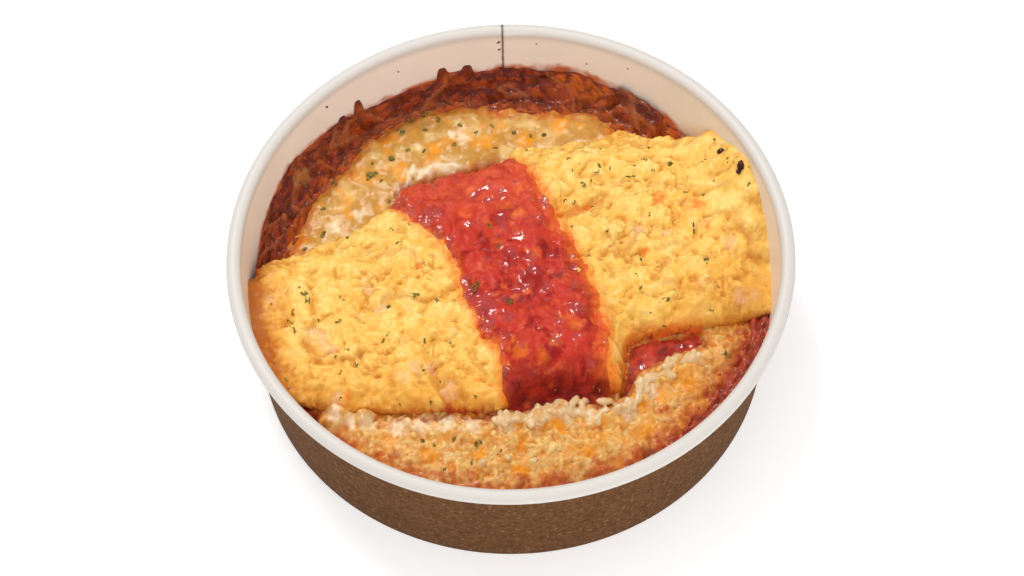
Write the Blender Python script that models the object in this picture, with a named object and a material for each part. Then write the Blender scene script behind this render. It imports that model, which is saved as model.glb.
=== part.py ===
# An omelette over rice, meat sauce and melted cheese, baked in a round paper bowl.
# Lengths are in metres, +Z is up, the bowl stands on z = 0 and its axis is the Z axis.
# The front of the dish, where the bare gratin shows, faces -Y.
import math
import random

import bmesh
import bpy
from mathutils import Matrix, Vector, noise
from mathutils.bvhtree import BVHTree
from mathutils.geometry import delaunay_2d_cdt

MM = 0.001

# Paper bowl
RIM_DIAMETER = 150.0 * MM
BOWL_HEIGHT = 41.6 * MM
RIM_ROLL = 3.9 * MM  # thickness of the rolled lip
PAPER = 0.5 * MM
WALL_LEAN = 3.4 / 38.0  # outward run of the wall for its rise
LEAN_TOP = 38.0 * MM  # above this the wall is upright and turns into the roll
ROLL_END = -118.0  # degrees round the roll, where the paper's edge comes back to the wall
BASE_HEIGHT = 5.5 * MM  # underside of the base disc above the table
HEM_HEIGHT = 5.0 * MM  # the wall's foot is folded inwards and up to here
HEM_SLOT = 1.1 * MM  # room between wall and hem for the base's skirt
SKIRT_BOTTOM = 0.9 * MM
FOOT_CHAMFER = 0.3 * MM
TURN_STEPS = 56

# Food in general
CLEARANCE = 0.3 * MM
LEAST_THICKNESS = 0.5 * MM
PLAN_LEVEL = 20.0 * MM  # outlines are true at this height and widen with the bowl
GRID_PITCH = 4.6 * MM
OUTLINE_PITCH = 4.0 * MM
MERGE_WITHIN = 0.3 * MM
SEED = 11

# Meat sauce, which fills the bottom and stands up in a ring along the wall
BED_LEVEL = 14.5 * MM
BED_SLOPE_RUN = 8.0 * MM
RING_FOOT_BACK = 20.0 * MM
RING_FOOT_FRONT = 18.0 * MM
RING_LUMPS = 0.9 * MM

# Rice under melted cheese
CHEESE_BACK = 20.9 * MM
CHEESE_FRONT = 19.6 * MM
CHEESE_HIDDEN = 17.0 * MM
CHEESE_DIP_RUN = 6.0 * MM
CHEESE_LUMPS = 0.6 * MM
VALLEY_LEVEL = 15.6 * MM
RIDGE_RISE = 2.2 * MM
RIDGE_WIDTH = 3.0 * MM

# Omelette
OMELETTE_CREST_LEFT = 27.2 * MM
OMELETTE_CREST_RIGHT = 28.8 * MM
OMELETTE_EDGE_BACK = 22.2 * MM
OMELETTE_EDGE_FRONT = 21.8 * MM
OMELETTE_ROUND_BACK = 17.0 * MM
OMELETTE_ROUND_FRONT = 9.0 * MM
OMELETTE_WALL_RUN = 13.0 * MM
OMELETTE_LUMPS = 1.2 * MM
OMELETTE_INSET = 0.4 * MM

# Tomato sauce, a stripe over the omelette that runs down into a pool before it
SAUCE_THICKNESS = 2.4 * MM
SAUCE_EDGE_RUN = 6.0 * MM
SAUCE_LUMPS = 0.8 * MM
POOL_LEVEL = 18.4 * MM

# Toppings
FLAKE_LENGTH = 2.8 * MM
FLAKE_WIDTH = 1.5 * MM
FLAKE_THICKNESS = 0.9 * MM
GRAIN_LENGTH = 6.2 * MM
GRAIN_WIDTH = 2.5 * MM
GRAIN_ROOM = 3.7 * MM  # from a grain's middle to where another food begins
FLAKES_ON_OMELETTE = 38
FLAKES_ON_CHEESE = 9
LOOSE_GRAINS = 14
RIDGE_GRAINS = 15
MINCE_LUMPS = 15
FROTH_LENGTH = 9.0 * MM

# Outlines seen from above, in millimetres, anticlockwise
OMELETTE_BACK = (
    (50.7, 47.1), (46.0, 49.0), (38.8, 49.6), (31.1, 51.6), (25.1, 50.0), (14.0, 47.5), (3.7, 47.2),
    (-3.0, 42.0), (-14.0, 37.0), (-28.0, 33.5), (-32.8, 28.0), (-43.1, 20.0), (-56.4, 13.5),
    (-65.5, 9.0), (-69.0, 4.0),
)
OMELETTE_FRONT = (
    (-61.1, -32.5), (-53.0, -34.5), (-44.0, -36.5), (-29.7, -36.8), (-16.6, -36.4), (-3.0, -36.9),
    (1.5, -32.5), (7.0, -30.0), (15.0, -28.6), (22.0, -29.3), (25.8, -32.0), (28.8, -30.6),
    (30.2, -23.0), (31.5, -16.5), (38.0, -14.2), (50.1, -12.4), (61.0, -9.8), (68.8, -7.2),
)
SAUCE_FRONT = (
    (-32.4, 27.0), (-24.2, 18.0), (-18.8, 12.6), (-14.9, 4.5), (-12.8, -5.0), (-9.2, -11.0),
    (-7.8, -17.0), (-4.5, -22.0), (-2.8, -28.0), (-2.6, -33.6), (0.8, -36.9), (6.0, -36.0),
    (12.4, -34.6), (20.3, -35.2), (26.0, -34.8), (31.0, -31.4), (33.0, -26.6), (36.0, -23.8),
    (41.0, -21.0), (46.0, -19.2), (50.5, -17.6), (51.8, -14.4),
)
SAUCE_BACK = (
    (24.6, -27.0), (25.2, -17.0), (23.4, -10.4), (21.0, -1.0), (17.3, 8.7), (12.1, 20.0),
    (7.0, 32.0), (2.0, 40.0), (-2.0, 42.9), (-12.0, 39.6), (-22.0, 37.0), (-30.0, 34.4),
)
POOL_SHORE = (25.4, 50.4)  # the pool lies along the omelette's front edge between these x
RIDGE_LINE = (
    (-3.0, -39.6), (6.0, -38.6), (13.0, -37.2), (21.0, -37.8), (29.0, -36.0), (35.4, -29.0),
    (41.0, -24.6), (50.0, -21.0),
)

# Azimuth in degrees from +X, and millimetres: how far out the cheese reaches
CHEESE_REACH = (
    (-170, 63.0), (-150, 62.0), (-130, 63.5), (-110, 61.0), (-90, 59.5), (-70, 60.0), (-55, 61.0),
    (-40, 58.5), (-27, 58.5), (-17, 62.0), (0, 64.0), (25, 64.0), (45, 64.5), (61, 62.0), (68, 64.8),
    (78, 61.0), (92, 61.7), (104, 64.6), (117, 65.4), (126, 65.2), (137, 62.6), (146, 62.5), (166, 62.2),
)
# and how high the sauce and the omelette stand on the wall
RING_HEIGHT = (
    (-150, 18.6), (-90, 18.4), (-40, 18.8), (-8, 19.0), (0, 17.0), (38, 17.0), (46, 21.5), (54, 23.6),
    (60, 25.2), (67, 25.3), (74, 27.3), (82, 26.2), (90, 27.2), (97, 25.5), (110, 25.0), (122, 24.7),
    (131, 26.4), (140, 27.0), (148, 28.2), (156, 25.6), (163, 23.8), (170, 19.5), (178, 17.0),
    (200, 17.0),
)
OMELETTE_ON_WALL = (
    (-152, 21.5), (-160, 23.0), (-172, 25.5), (-6, 20.4), (0, 20.6), (4.5, 21.4), (9.3, 25.9),
    (14.5, 30.3), (20.3, 35.0), (25.5, 38.4), (30, 36.6), (34, 34.0), (38, 33.4), (42, 29.5),
    (46, 24.0), (100, 24.0), (170, 27.5), (178, 28.0),
)

# Single things: azimuth and tip height of the froth that dried on the wall
FROTH_TIPS = ((126.0, 30.6), (104.9, 29.8), (99.2, 28.8))
BURNT_BITS = ((58.0, 31.5), (60.8, 25.0))  # plan places

draw = random.Random(SEED)


def clear_scene():
    for item in list(bpy.data.objects):
        bpy.data.objects.remove(item, do_unlink=True)


def smooth(share):
    share = min(max(share, 0.0), 1.0)
    return share * share * (3.0 - 2.0 * share)


def mix(first, second, share):
    return first + (second - first) * share


def round_the_bowl(stations, azimuth):
    """Length at an azimuth, smooth between the stations and closed round the bowl."""
    ordered = sorted((angle % 360.0, value) for angle, value in stations)
    ordered.append((ordered[0][0] + 360.0, ordered[0][1]))
    ordered.insert(0, (ordered[-2][0] - 360.0, ordered[-2][1]))
    azimuth %= 360.0
    for (start, low), (end, high) in zip(ordered, ordered[1:]):
        if start <= azimuth <= end:
            break
    return mix(low, high, smooth((azimuth - start) / (end - start))) * MM


def inner_radius(height):
    """Inner face of the bowl's wall at a height."""
    straight = RIM_DIAMETER / 2 - RIM_ROLL
    return straight - WALL_LEAN * max(LEAN_TOP - height, 0.0)


def food_radius(height):
    return inner_radius(height) - CLEARANCE


PLAN_RADIUS = food_radius(PLAN_LEVEL)
FOOD_BOTTOM = BASE_HEIGHT + PAPER + CLEARANCE


def in_bowl(x, y, height):
    """The point at a height over a plan place, which moves out as the bowl widens."""
    widen = food_radius(height) / PLAN_RADIUS
    return Vector((x * widen, y * widen, height))


def polar(radius, azimuth):
    angle = math.radians(azimuth)
    return radius * math.cos(angle), radius * math.sin(angle)


def azimuth_of(x, y):
    return math.degrees(math.atan2(y, x))


def scaled(points):
    return [(x * MM, y * MM) for x, y in points]


def rounded(points):
    """A smooth open curve through the points, cut into steps of the outline's pitch."""
    last = len(points) - 1
    curve = []
    for i in range(last):
        before, start, end, after = (Vector(points[min(max(i + k, 0), last)]) for k in (-1, 0, 1, 2))
        steps = max(1, round((end - start).length / OUTLINE_PITCH))
        for step in range(steps):
            t = step / steps
            point = 0.5 * (
                2 * start + (end - before) * t
                + (2 * before - 5 * start + 4 * end - after) * t ** 2
                + (3 * start - before - 3 * end + after) * t ** 3
            )
            curve.append((point.x, point.y))
    curve.append(tuple(points[last]))
    return curve


def wall_arc(start, end):
    """Plan points on the wall at the bowl's own facets, strictly between two azimuths."""
    step = 360.0 / TURN_STEPS
    numbers = range(math.floor(start / step) + 1, math.ceil(end / step))
    return [polar(PLAN_RADIUS, number * step) for number in numbers]


def distance_to(x, y, line):
    """Plan distance to a polyline; a closed outline repeats its first point."""
    point = Vector((x, y))
    least = 1.0
    for start, end in zip(line, line[1:]):
        start = Vector(start)
        along = Vector(end) - start
        share = min(max((point - start).dot(along) / max(along.length_squared, 1e-12), 0.0), 1.0)
        least = min(least, (point - start - along * share).length)
    return least


def inside(x, y, outline):
    hit = False
    for (x0, y0), (x1, y1) in zip(outline, outline[1:] + outline[:1]):
        if (y0 > y) != (y1 > y) and x < (x1 - x0) * (y - y0) / (y1 - y0) + x0:
            hit = not hit
    return hit


def lumps(x, y, size, layer):
    """Uneven relief, mostly between -1 and 1, with lumps of a size; each layer has its own."""
    return noise.fractal(Vector((x / size, y / size, layer)), 0.7, 2.0, 2)


omelette_back = rounded(scaled(OMELETTE_BACK))
omelette_front = rounded(scaled(OMELETTE_FRONT))
wall_ends = [
    azimuth_of(*place)
    for place in (OMELETTE_FRONT[-1], OMELETTE_BACK[0], OMELETTE_BACK[-1], OMELETTE_FRONT[0])
]
omelette_back[0] = polar(PLAN_RADIUS, wall_ends[1])
omelette_back[-1] = polar(PLAN_RADIUS, wall_ends[2])
omelette_front[0] = polar(PLAN_RADIUS, wall_ends[3])
omelette_front[-1] = polar(PLAN_RADIUS, wall_ends[0])
omelette_outline = (
    wall_arc(wall_ends[0], wall_ends[1]) + omelette_back
    + wall_arc(wall_ends[2], wall_ends[3] + 360.0) + omelette_front
)
pool_shore = [place for place in omelette_front if POOL_SHORE[0] * MM < place[0] < POOL_SHORE[1] * MM]
sauce_outline = rounded(scaled(SAUCE_FRONT)) + pool_shore[::-1] + rounded(scaled(SAUCE_BACK))
sauce_rim = sauce_outline + sauce_outline[:1]
cheese_outline = [polar(round_the_bowl(CHEESE_REACH, angle), angle) for angle in range(0, 360, 4)]
wall_angles = [angle % 360.0 for angle in wall_ends] + [360.0 * i / TURN_STEPS for i in range(TURN_STEPS)]
wall_outline = [polar(PLAN_RADIUS, angle) for angle in sorted(wall_angles)]
ridge_line = rounded(scaled(RIDGE_LINE))


def in_pool(x, y):
    """The sauce that lies before the omelette and not on it."""
    return inside(x, y, sauce_outline) and not inside(x, y, omelette_outline)


def meat_sauce_top(x, y):
    radius, azimuth = math.hypot(x, y), azimuth_of(x, y)
    reach = round_the_bowl(CHEESE_REACH, azimuth)
    foot = mix(RING_FOOT_FRONT, RING_FOOT_BACK, smooth(0.5 + y / (20 * MM)))
    wall = round_the_bowl(RING_HEIGHT, azimuth)
    if radius < reach:
        return mix(foot, BED_LEVEL, smooth((reach - radius) / BED_SLOPE_RUN))
    out = (radius - reach) / (PLAN_RADIUS - reach)
    return mix(min(foot, wall), wall, smooth(out)) + RING_LUMPS * lumps(x, y, 6 * MM, 1.0) * (1.0 - out)


def cheese_top(x, y):
    back = y > 0.0
    level = CHEESE_BACK if back else CHEESE_FRONT
    level += CHEESE_LUMPS * lumps(x, y, 7 * MM, 2.0)
    level += RIDGE_RISE * math.exp(-(distance_to(x, y, ridge_line) / RIDGE_WIDTH) ** 2)
    if inside(x, y, omelette_outline):
        edge = distance_to(x, y, omelette_back if back else omelette_front)
        return mix(level, CHEESE_HIDDEN, smooth(edge / CHEESE_DIP_RUN))
    if in_pool(x, y):
        return mix(level, VALLEY_LEVEL, smooth(distance_to(x, y, sauce_rim) / (2 * MM)))
    return level


def omelette_top(x, y):
    crest = mix(OMELETTE_CREST_LEFT, OMELETTE_CREST_RIGHT, smooth(0.5 + x / (80 * MM)))
    to_back = min(distance_to(x, y, omelette_back) / OMELETTE_ROUND_BACK, 1.0)
    to_front = min(distance_to(x, y, omelette_front) / OMELETTE_ROUND_FRONT, 1.0)
    height = crest
    height -= (crest - OMELETTE_EDGE_BACK) * (1.0 - to_back) ** 2
    height -= (crest - OMELETTE_EDGE_FRONT) * (1.0 - to_front) ** 2
    free = min(to_back, to_front)
    height += OMELETTE_LUMPS * lumps(x, y, 13 * MM, 3.0) * mix(0.5, 1.0, free)
    wall = round_the_bowl(OMELETTE_ON_WALL, azimuth_of(x, y))
    near_wall = smooth(1.0 - (PLAN_RADIUS - math.hypot(x, y)) / OMELETTE_WALL_RUN)
    return mix(height, wall, near_wall)


def sauce_top(x, y, under):
    edge = smooth(distance_to(x, y, sauce_rim) / SAUCE_EDGE_RUN)
    height = under + edge * (SAUCE_THICKNESS + SAUCE_LUMPS * lumps(x, y, 8 * MM, 4.0))
    return max(height, POOL_LEVEL) if in_pool(x, y) else height


def plan_of_food():
    """Places and triangles of the food seen from above. Every layer takes its triangles from these,
    so layers that lie on each other never cut through each other."""
    points, edges = [], []
    for outline in (wall_outline, cheese_outline, omelette_outline, sauce_outline):
        first, count = len(points), len(outline)
        points += outline
        edges += [(first + i, first + (i + 1) % count) for i in range(count)]
    fixed = [Vector(point) for point in points]
    rows = int(PLAN_RADIUS / GRID_PITCH) + 2
    for row in range(-rows, rows + 1):
        for column in range(-rows, rows + 1):
            x = (column + 0.5 * (row % 2)) * GRID_PITCH + draw.uniform(-0.16, 0.16) * GRID_PITCH
            y = row * GRID_PITCH * 0.866 + draw.uniform(-0.16, 0.16) * GRID_PITCH
            place = Vector((x, y))
            gap = min((place - other).length for other in fixed)
            if place.length < PLAN_RADIUS and gap > 0.6 * GRID_PITCH:
                points.append((x, y))
    made = delaunay_2d_cdt([Vector(point) for point in points], edges, [], 0, MERGE_WITHIN)
    return [tuple(point) for point in made[0]], [tuple(face) for face in made[2]]


def triangles_inside(plan, outline):
    places, triangles = plan
    found = set()
    for triangle in triangles:
        x = sum(places[i][0] for i in triangle) / 3
        y = sum(places[i][1] for i in triangle) / 3
        if inside(x, y, outline):
            found.add(triangle)
    return found


def inset_places(plan, border, inset):
    """The border places drawn in by a distance, except those on the wall."""
    places = plan[0]
    pull = {}
    for start, end in border:
        along = Vector(places[end]) - Vector(places[start])
        inwards = Vector((-along.y, along.x)).normalized()
        for place in (start, end):
            pull[place] = pull.get(place, Vector((0.0, 0.0))) + inwards
    moved = {}
    for place, direction in pull.items():
        at = Vector(places[place])
        if at.length < PLAN_RADIUS - MM and direction.length > 0.1:
            moved[place] = at + direction.normalized() * inset
    return moved


def layer(name, plan, members, beneath, top_at, inset=0.0):
    """A closed solid over some triangles of the plan, from the layers beneath it up to its own top."""
    places = plan[0]
    bottom = {i: None for triangle in members for i in triangle}
    for other_members, other_top in beneath:
        for i in {i for triangle in members & other_members for i in triangle}:
            bottom[i] = max(bottom[i] or 0.0, other_top[i] + CLEARANCE)
    edges = {edge for a, b, c in members for edge in ((a, b), (b, c), (c, a))}
    border = [edge for edge in edges if edge[::-1] not in edges]
    moved = inset_places(plan, border, inset) if inset else {}
    for i, height in bottom.items():
        bottom[i] = FOOD_BOTTOM if height is None else height + (inset if i in moved else 0.0)
    top = {i: max(top_at(*places[i], bottom[i]), bottom[i] + LEAST_THICKNESS) for i in bottom}
    mesh = bmesh.new()
    upper, lower = {}, {}
    for i in sorted(bottom):
        x, y = moved.get(i, places[i])
        upper[i] = mesh.verts.new(in_bowl(x, y, top[i]))
        lower[i] = mesh.verts.new(in_bowl(x, y, bottom[i]))
    for a, b, c in sorted(members):
        mesh.faces.new((upper[a], upper[b], upper[c]))
        mesh.faces.new((lower[c], lower[b], lower[a]))
    for start, end in sorted(border):
        mesh.faces.new((upper[end], upper[start], lower[start], lower[end]))
    mesh.normal_update()
    bmesh.ops.dissolve_limit(mesh, angle_limit=0.0005, verts=mesh.verts[:], edges=mesh.edges[:])
    bmesh.ops.triangulate(mesh, faces=mesh.faces[:])
    bmesh.ops.recalc_face_normals(mesh, faces=mesh.faces[:])
    return finish(name, mesh), (members, top)


def finish(name, mesh, crease=40.0):
    """Turns the working mesh into a named object, shaded smooth except at creases."""
    data = bpy.data.meshes.new(name)
    mesh.to_mesh(data)
    mesh.free()
    data.shade_smooth()
    data.set_sharp_from_angle(angle=math.radians(crease))
    made = bpy.data.objects.new(name, data)
    bpy.context.scene.collection.objects.link(made)
    return made


def turned(name, profile):
    """A solid turned round the Z axis: a ring, or a disc where the profile starts on the axis."""
    mesh = bmesh.new()
    corners = [mesh.verts.new((radius, 0.0, height)) for radius, height in profile]
    edges = [mesh.edges.new(pair) for pair in zip(corners, corners[1:])]
    if profile[0][0] > 0.0:
        edges.append(mesh.edges.new((corners[-1], corners[0])))
    bmesh.ops.spin(
        mesh, geom=corners + edges, cent=(0, 0, 0), axis=(0, 0, 1), angle=2 * math.pi,
        steps=TURN_STEPS, use_merge=True,
    )
    bmesh.ops.remove_doubles(mesh, verts=mesh.verts[:], dist=0.001 * MM)
    bmesh.ops.triangulate(mesh, faces=mesh.faces[:])
    bmesh.ops.recalc_face_normals(mesh, faces=mesh.faces[:])
    return finish(name, mesh)


def arc(centre, radius, start, end, steps):
    angles = [math.radians(mix(start, end, i / steps)) for i in range(steps + 1)]
    return [(centre[0] + radius * math.cos(a), centre[1] + radius * math.sin(a)) for a in angles]


def bowl_wall():
    """Conical paper wall with its lip curled outwards and its foot folded inwards into a hem."""
    roll = RIM_ROLL / 2
    centre = (RIM_DIAMETER / 2 - roll, BOWL_HEIGHT - roll)
    foot = inner_radius(0.0)
    outer_foot = foot + PAPER
    hem_outer = foot - HEM_SLOT
    hem_inner = hem_outer - PAPER
    profile = [(inner_radius(PAPER), PAPER), (inner_radius(LEAN_TOP), LEAN_TOP)]
    profile += arc(centre, roll, 180.0, ROLL_END, 10)
    profile += arc(centre, roll - PAPER, ROLL_END, 180.0, 6)
    profile += [(inner_radius(LEAN_TOP) + PAPER, LEAN_TOP), (outer_foot, FOOT_CHAMFER)]
    profile += [(outer_foot - FOOT_CHAMFER, 0.0), (hem_inner + FOOT_CHAMFER, 0.0)]
    profile += [(hem_inner, FOOT_CHAMFER), (hem_inner, HEM_HEIGHT)]
    profile += [(hem_outer, HEM_HEIGHT), (hem_outer, PAPER)]
    return turned("bowl_wall", profile)


def bowl_base():
    """Disc set up inside the foot, with a skirt that stands in the hem."""
    top = BASE_HEIGHT + PAPER
    skirt = food_radius(SKIRT_BOTTOM)
    rim = food_radius(top)
    profile = [
        (0.0, BASE_HEIGHT), (rim - 2 * PAPER, BASE_HEIGHT), (rim - PAPER, BASE_HEIGHT - PAPER),
        (skirt - PAPER, SKIRT_BOTTOM), (skirt, SKIRT_BOTTOM), (rim, top - PAPER), (rim - PAPER, top),
        (0.0, top),
    ]
    return turned("bowl_base", profile)


def border_gap(x, y):
    """Plan distance to the nearest place where one food ends on another."""
    return min(distance_to(x, y, line) for line in (sauce_rim, omelette_back, omelette_front))


def surface_of(thing):
    mesh = bmesh.new()
    mesh.from_mesh(thing.data)
    tree = BVHTree.FromBMesh(mesh)
    mesh.free()
    return tree


def spread(count, gap, allowed):
    """Up to count plan places, spread evenly by chance, at least a gap apart and where they are allowed."""
    places = []
    for _ in range(400 * count):
        radius = PLAN_RADIUS * math.sqrt(draw.random())
        x, y = polar(radius, draw.uniform(0.0, 360.0))
        if len(places) < count and allowed(x, y) and all(math.hypot(x - a, y - b) > gap for a, b in places):
            places.append((x, y))
    return places


def laid(mesh, tree, x, y, sink, turn, tilt=0.0):
    """Moves a working mesh from the origin onto a surface, turned about the surface's normal."""
    spot, normal, _, _ = tree.ray_cast(Vector((x, y, BOWL_HEIGHT)), Vector((0.0, 0.0, -1.0)))
    stand = normal.to_track_quat("Z", "Y").to_matrix().to_4x4()
    place = Matrix.Translation(spot - normal * sink) @ stand
    place = place @ Matrix.Rotation(turn, 4, "Z") @ Matrix.Rotation(tilt, 4, "Y")
    bmesh.ops.transform(mesh, matrix=place, verts=mesh.verts[:])
    return mesh


def flake_shape():
    """A torn leaf scrap: a thin slab of six uneven sides, bent along its length."""
    mesh = bmesh.new()
    corners = []
    for i in range(6):
        angle = math.pi * (i + draw.uniform(-0.2, 0.2)) / 3
        x = 0.5 * FLAKE_LENGTH * math.cos(angle) * draw.uniform(0.75, 1.1)
        y = 0.5 * FLAKE_WIDTH * math.sin(angle) * draw.uniform(0.8, 1.2)
        corners.append((x, y, 0.15 * FLAKE_THICKNESS * math.cos(2 * angle)))
    top = [mesh.verts.new((x, y, z + 0.5 * FLAKE_THICKNESS)) for x, y, z in corners]
    low = [mesh.verts.new((x, y, z - 0.5 * FLAKE_THICKNESS)) for x, y, z in corners]
    mesh.faces.new(top)
    mesh.faces.new(low[::-1])
    for i in range(6):
        mesh.faces.new((top[i], low[i], low[(i + 1) % 6], top[(i + 1) % 6]))
    bmesh.ops.triangulate(mesh, faces=mesh.faces[:])
    return mesh


def grain_shape(length, width, height, sides=5):
    """A rounded lump from rings: a rice grain when long, a crumb of mince when short."""
    mesh = bmesh.new()
    rings = []
    for share in (0.14, 0.5, 0.86):
        girth = math.sin(math.pi * share) ** 0.7
        ring = []
        for i in range(sides):
            angle = 2 * math.pi * i / sides
            across = 0.5 * width * girth * math.cos(angle)
            up = 0.5 * height * girth * math.sin(angle)
            ring.append(mesh.verts.new((length * (share - 0.5), across, up)))
        rings.append(ring)
    ends = [mesh.verts.new((-0.5 * length, 0, 0)), mesh.verts.new((0.5 * length, 0, 0))]
    for first, second in zip(rings, rings[1:]):
        for i in range(sides):
            j = (i + 1) % sides
            mesh.faces.new((first[i], first[j], second[j], second[i]))
    for i in range(sides):
        j = (i + 1) % sides
        mesh.faces.new((ends[0], rings[0][j], rings[0][i]))
        mesh.faces.new((ends[1], rings[-1][i], rings[-1][j]))
    bmesh.ops.triangulate(mesh, faces=mesh.faces[:])
    bmesh.ops.recalc_face_normals(mesh, faces=mesh.faces[:])
    return mesh


def fuse(thing, pieces):
    """Joins small pieces to what they lie on, in one union, and removes their own objects."""
    group = bpy.data.collections.new(thing.name + "_pieces")
    bpy.context.scene.collection.children.link(group)
    for number, mesh in enumerate(pieces):
        piece = finish(f"{thing.name}_piece_{number}", mesh)
        bpy.context.scene.collection.objects.unlink(piece)
        group.objects.link(piece)
    union = thing.modifiers.new("Fuse", "BOOLEAN")
    union.operation = "UNION"
    union.operand_type = "COLLECTION"
    union.collection = group
    union.solver = "EXACT"
    bpy.context.view_layer.objects.active = thing
    bpy.ops.object.modifier_apply(modifier=union.name)
    for piece in list(group.objects):
        bpy.data.objects.remove(piece, do_unlink=True)
    bpy.data.collections.remove(group)


def dress_omelette(omelette):
    """Parsley flakes and two burnt bits."""
    tree = surface_of(omelette)

    def open_egg(x, y):
        on_egg = inside(x, y, omelette_outline) and not inside(x, y, sauce_outline)
        return on_egg and border_gap(x, y) > 4 * MM and math.hypot(x, y) < PLAN_RADIUS - 4 * MM

    pieces = []
    for x, y in spread(FLAKES_ON_OMELETTE, 7 * MM, open_egg):
        pieces.append(laid(flake_shape(), tree, x, y, 0.1 * FLAKE_THICKNESS, draw.uniform(0, math.pi)))
    for x, y in scaled(BURNT_BITS):
        bit = grain_shape(3.4 * MM, 2.4 * MM, 1.8 * MM)
        pieces.append(laid(bit, tree, x, y, 0.2 * MM, draw.uniform(0, math.pi)))
    fuse(omelette, pieces)


def dress_cheese(cheese):
    """Rice grains that stand out along the ridge and in the front, and parsley flakes at the back."""
    tree = surface_of(cheese)

    def bare(x, y):
        covered = inside(x, y, omelette_outline) or inside(x, y, sauce_outline)
        reach = round_the_bowl(CHEESE_REACH, azimuth_of(x, y)) - 3 * MM
        return not covered and border_gap(x, y) > GRAIN_ROOM and math.hypot(x, y) < reach

    def on_ridge(x, y):
        return distance_to(x, y, ridge_line) < 2 * MM and bare(x, y)

    pieces = []
    grains = spread(RIDGE_GRAINS, 3.2 * MM, on_ridge)
    grains += spread(LOOSE_GRAINS, 6.5 * MM, lambda x, y: y < -42 * MM and bare(x, y))
    for x, y in grains:
        shape = grain_shape(GRAIN_LENGTH * draw.uniform(0.85, 1.05), GRAIN_WIDTH, GRAIN_WIDTH)
        turn, tilt = draw.uniform(0, math.pi), draw.uniform(-0.2, 0.2)
        pieces.append(laid(shape, tree, x, y, 0.2 * MM, turn, tilt))
    for x, y in spread(FLAKES_ON_CHEESE, 6 * MM, lambda x, y: y > 0 and bare(x, y)):
        pieces.append(laid(flake_shape(), tree, x, y, 0.1 * FLAKE_THICKNESS, draw.uniform(0, math.pi)))
    fuse(cheese, pieces)


def dress_meat_sauce(sauce):
    """Crumbs of mince in the ring, and froth that dried in upright tips on the wall."""
    tree = surface_of(sauce)

    def on_ring(x, y):
        azimuth = azimuth_of(x, y)
        middle = 0.5 * (round_the_bowl(CHEESE_REACH, azimuth) + PLAN_RADIUS) + 0.4 * MM
        return abs(math.hypot(x, y) - middle) < 0.3 * MM and 50.0 < azimuth < 164.0

    pieces = []
    for x, y in spread(MINCE_LUMPS, 6.5 * MM, on_ring):
        size = draw.uniform(2.6, 3.6) * MM
        crumb = grain_shape(size, size * 0.8, size * 0.7)
        pieces.append(laid(crumb, tree, x, y, 0.3 * MM, draw.uniform(0, math.pi)))
    for azimuth, tip in FROTH_TIPS:
        bump = grain_shape(FROTH_LENGTH, 3.2 * MM, 2.4 * MM)
        turn = Matrix.Rotation(math.radians(azimuth), 4, "Z") @ Matrix.Rotation(math.pi / 2, 4, "Y")
        lean = Matrix.Rotation(math.pi / 2, 4, "X")
        middle = tip * MM - 0.5 * FROTH_LENGTH
        x, y = polar(food_radius(middle) - 1.7 * MM, azimuth)
        place = Matrix.Translation((x, y, middle))
        bmesh.ops.transform(bump, matrix=place @ turn @ lean, verts=bump.verts[:])
        pieces.append(bump)
    fuse(sauce, pieces)


def material(name, colour, roughness, coat=0.0):
    made = bpy.data.materials.new(name)
    made.use_nodes = True
    shader = made.node_tree.nodes["Principled BSDF"]
    shader.inputs["Base Color"].default_value = (*colour, 1.0)
    shader.inputs["Roughness"].default_value = roughness
    shader.inputs["Metallic"].default_value = 0.0
    shader.inputs["Coat Weight"].default_value = coat
    made.diffuse_color = (*colour, 1.0)
    return made


def build_bowl():
    white_board = material("white_board", (0.80, 0.77, 0.72), 0.55)
    for piece in (bowl_wall(), bowl_base()):
        piece.data.materials.append(white_board)


def build_food():
    plan = plan_of_food()
    everywhere = set(plan[1])
    on_egg = triangles_inside(plan, omelette_outline)
    with_cheese = triangles_inside(plan, cheese_outline)
    with_sauce = triangles_inside(plan, sauce_outline)
    meat_sauce, bed = layer("meat_sauce", plan, everywhere, [], lambda x, y, under: meat_sauce_top(x, y))
    cheese, gratin = layer("cheese_gratin", plan, with_cheese, [bed], lambda x, y, under: cheese_top(x, y))
    egg_layers = [bed, gratin]
    omelette, egg = layer(
        "omelette", plan, on_egg, egg_layers, lambda x, y, under: omelette_top(x, y), OMELETTE_INSET,
    )
    tomato, _ = layer("tomato_sauce", plan, with_sauce, egg_layers + [egg], sauce_top)
    dress_meat_sauce(meat_sauce)
    dress_cheese(cheese)
    dress_omelette(omelette)
    meat_sauce.data.materials.append(material("browned_meat_sauce", (0.16, 0.030, 0.012), 0.25, 0.6))
    cheese.data.materials.append(material("melted_cheese", (0.75, 0.42, 0.14), 0.35, 0.3))
    omelette.data.materials.append(material("egg", (0.90, 0.52, 0.10), 0.45, 0.1))
    tomato.data.materials.append(material("tomato", (0.55, 0.055, 0.025), 0.2, 0.8))


clear_scene()
build_bowl()
build_food()
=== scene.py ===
import math
import random

import bpy
import numpy as np
from mathutils import Matrix, Vector, noise
from mathutils.bvhtree import BVHTree


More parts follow.
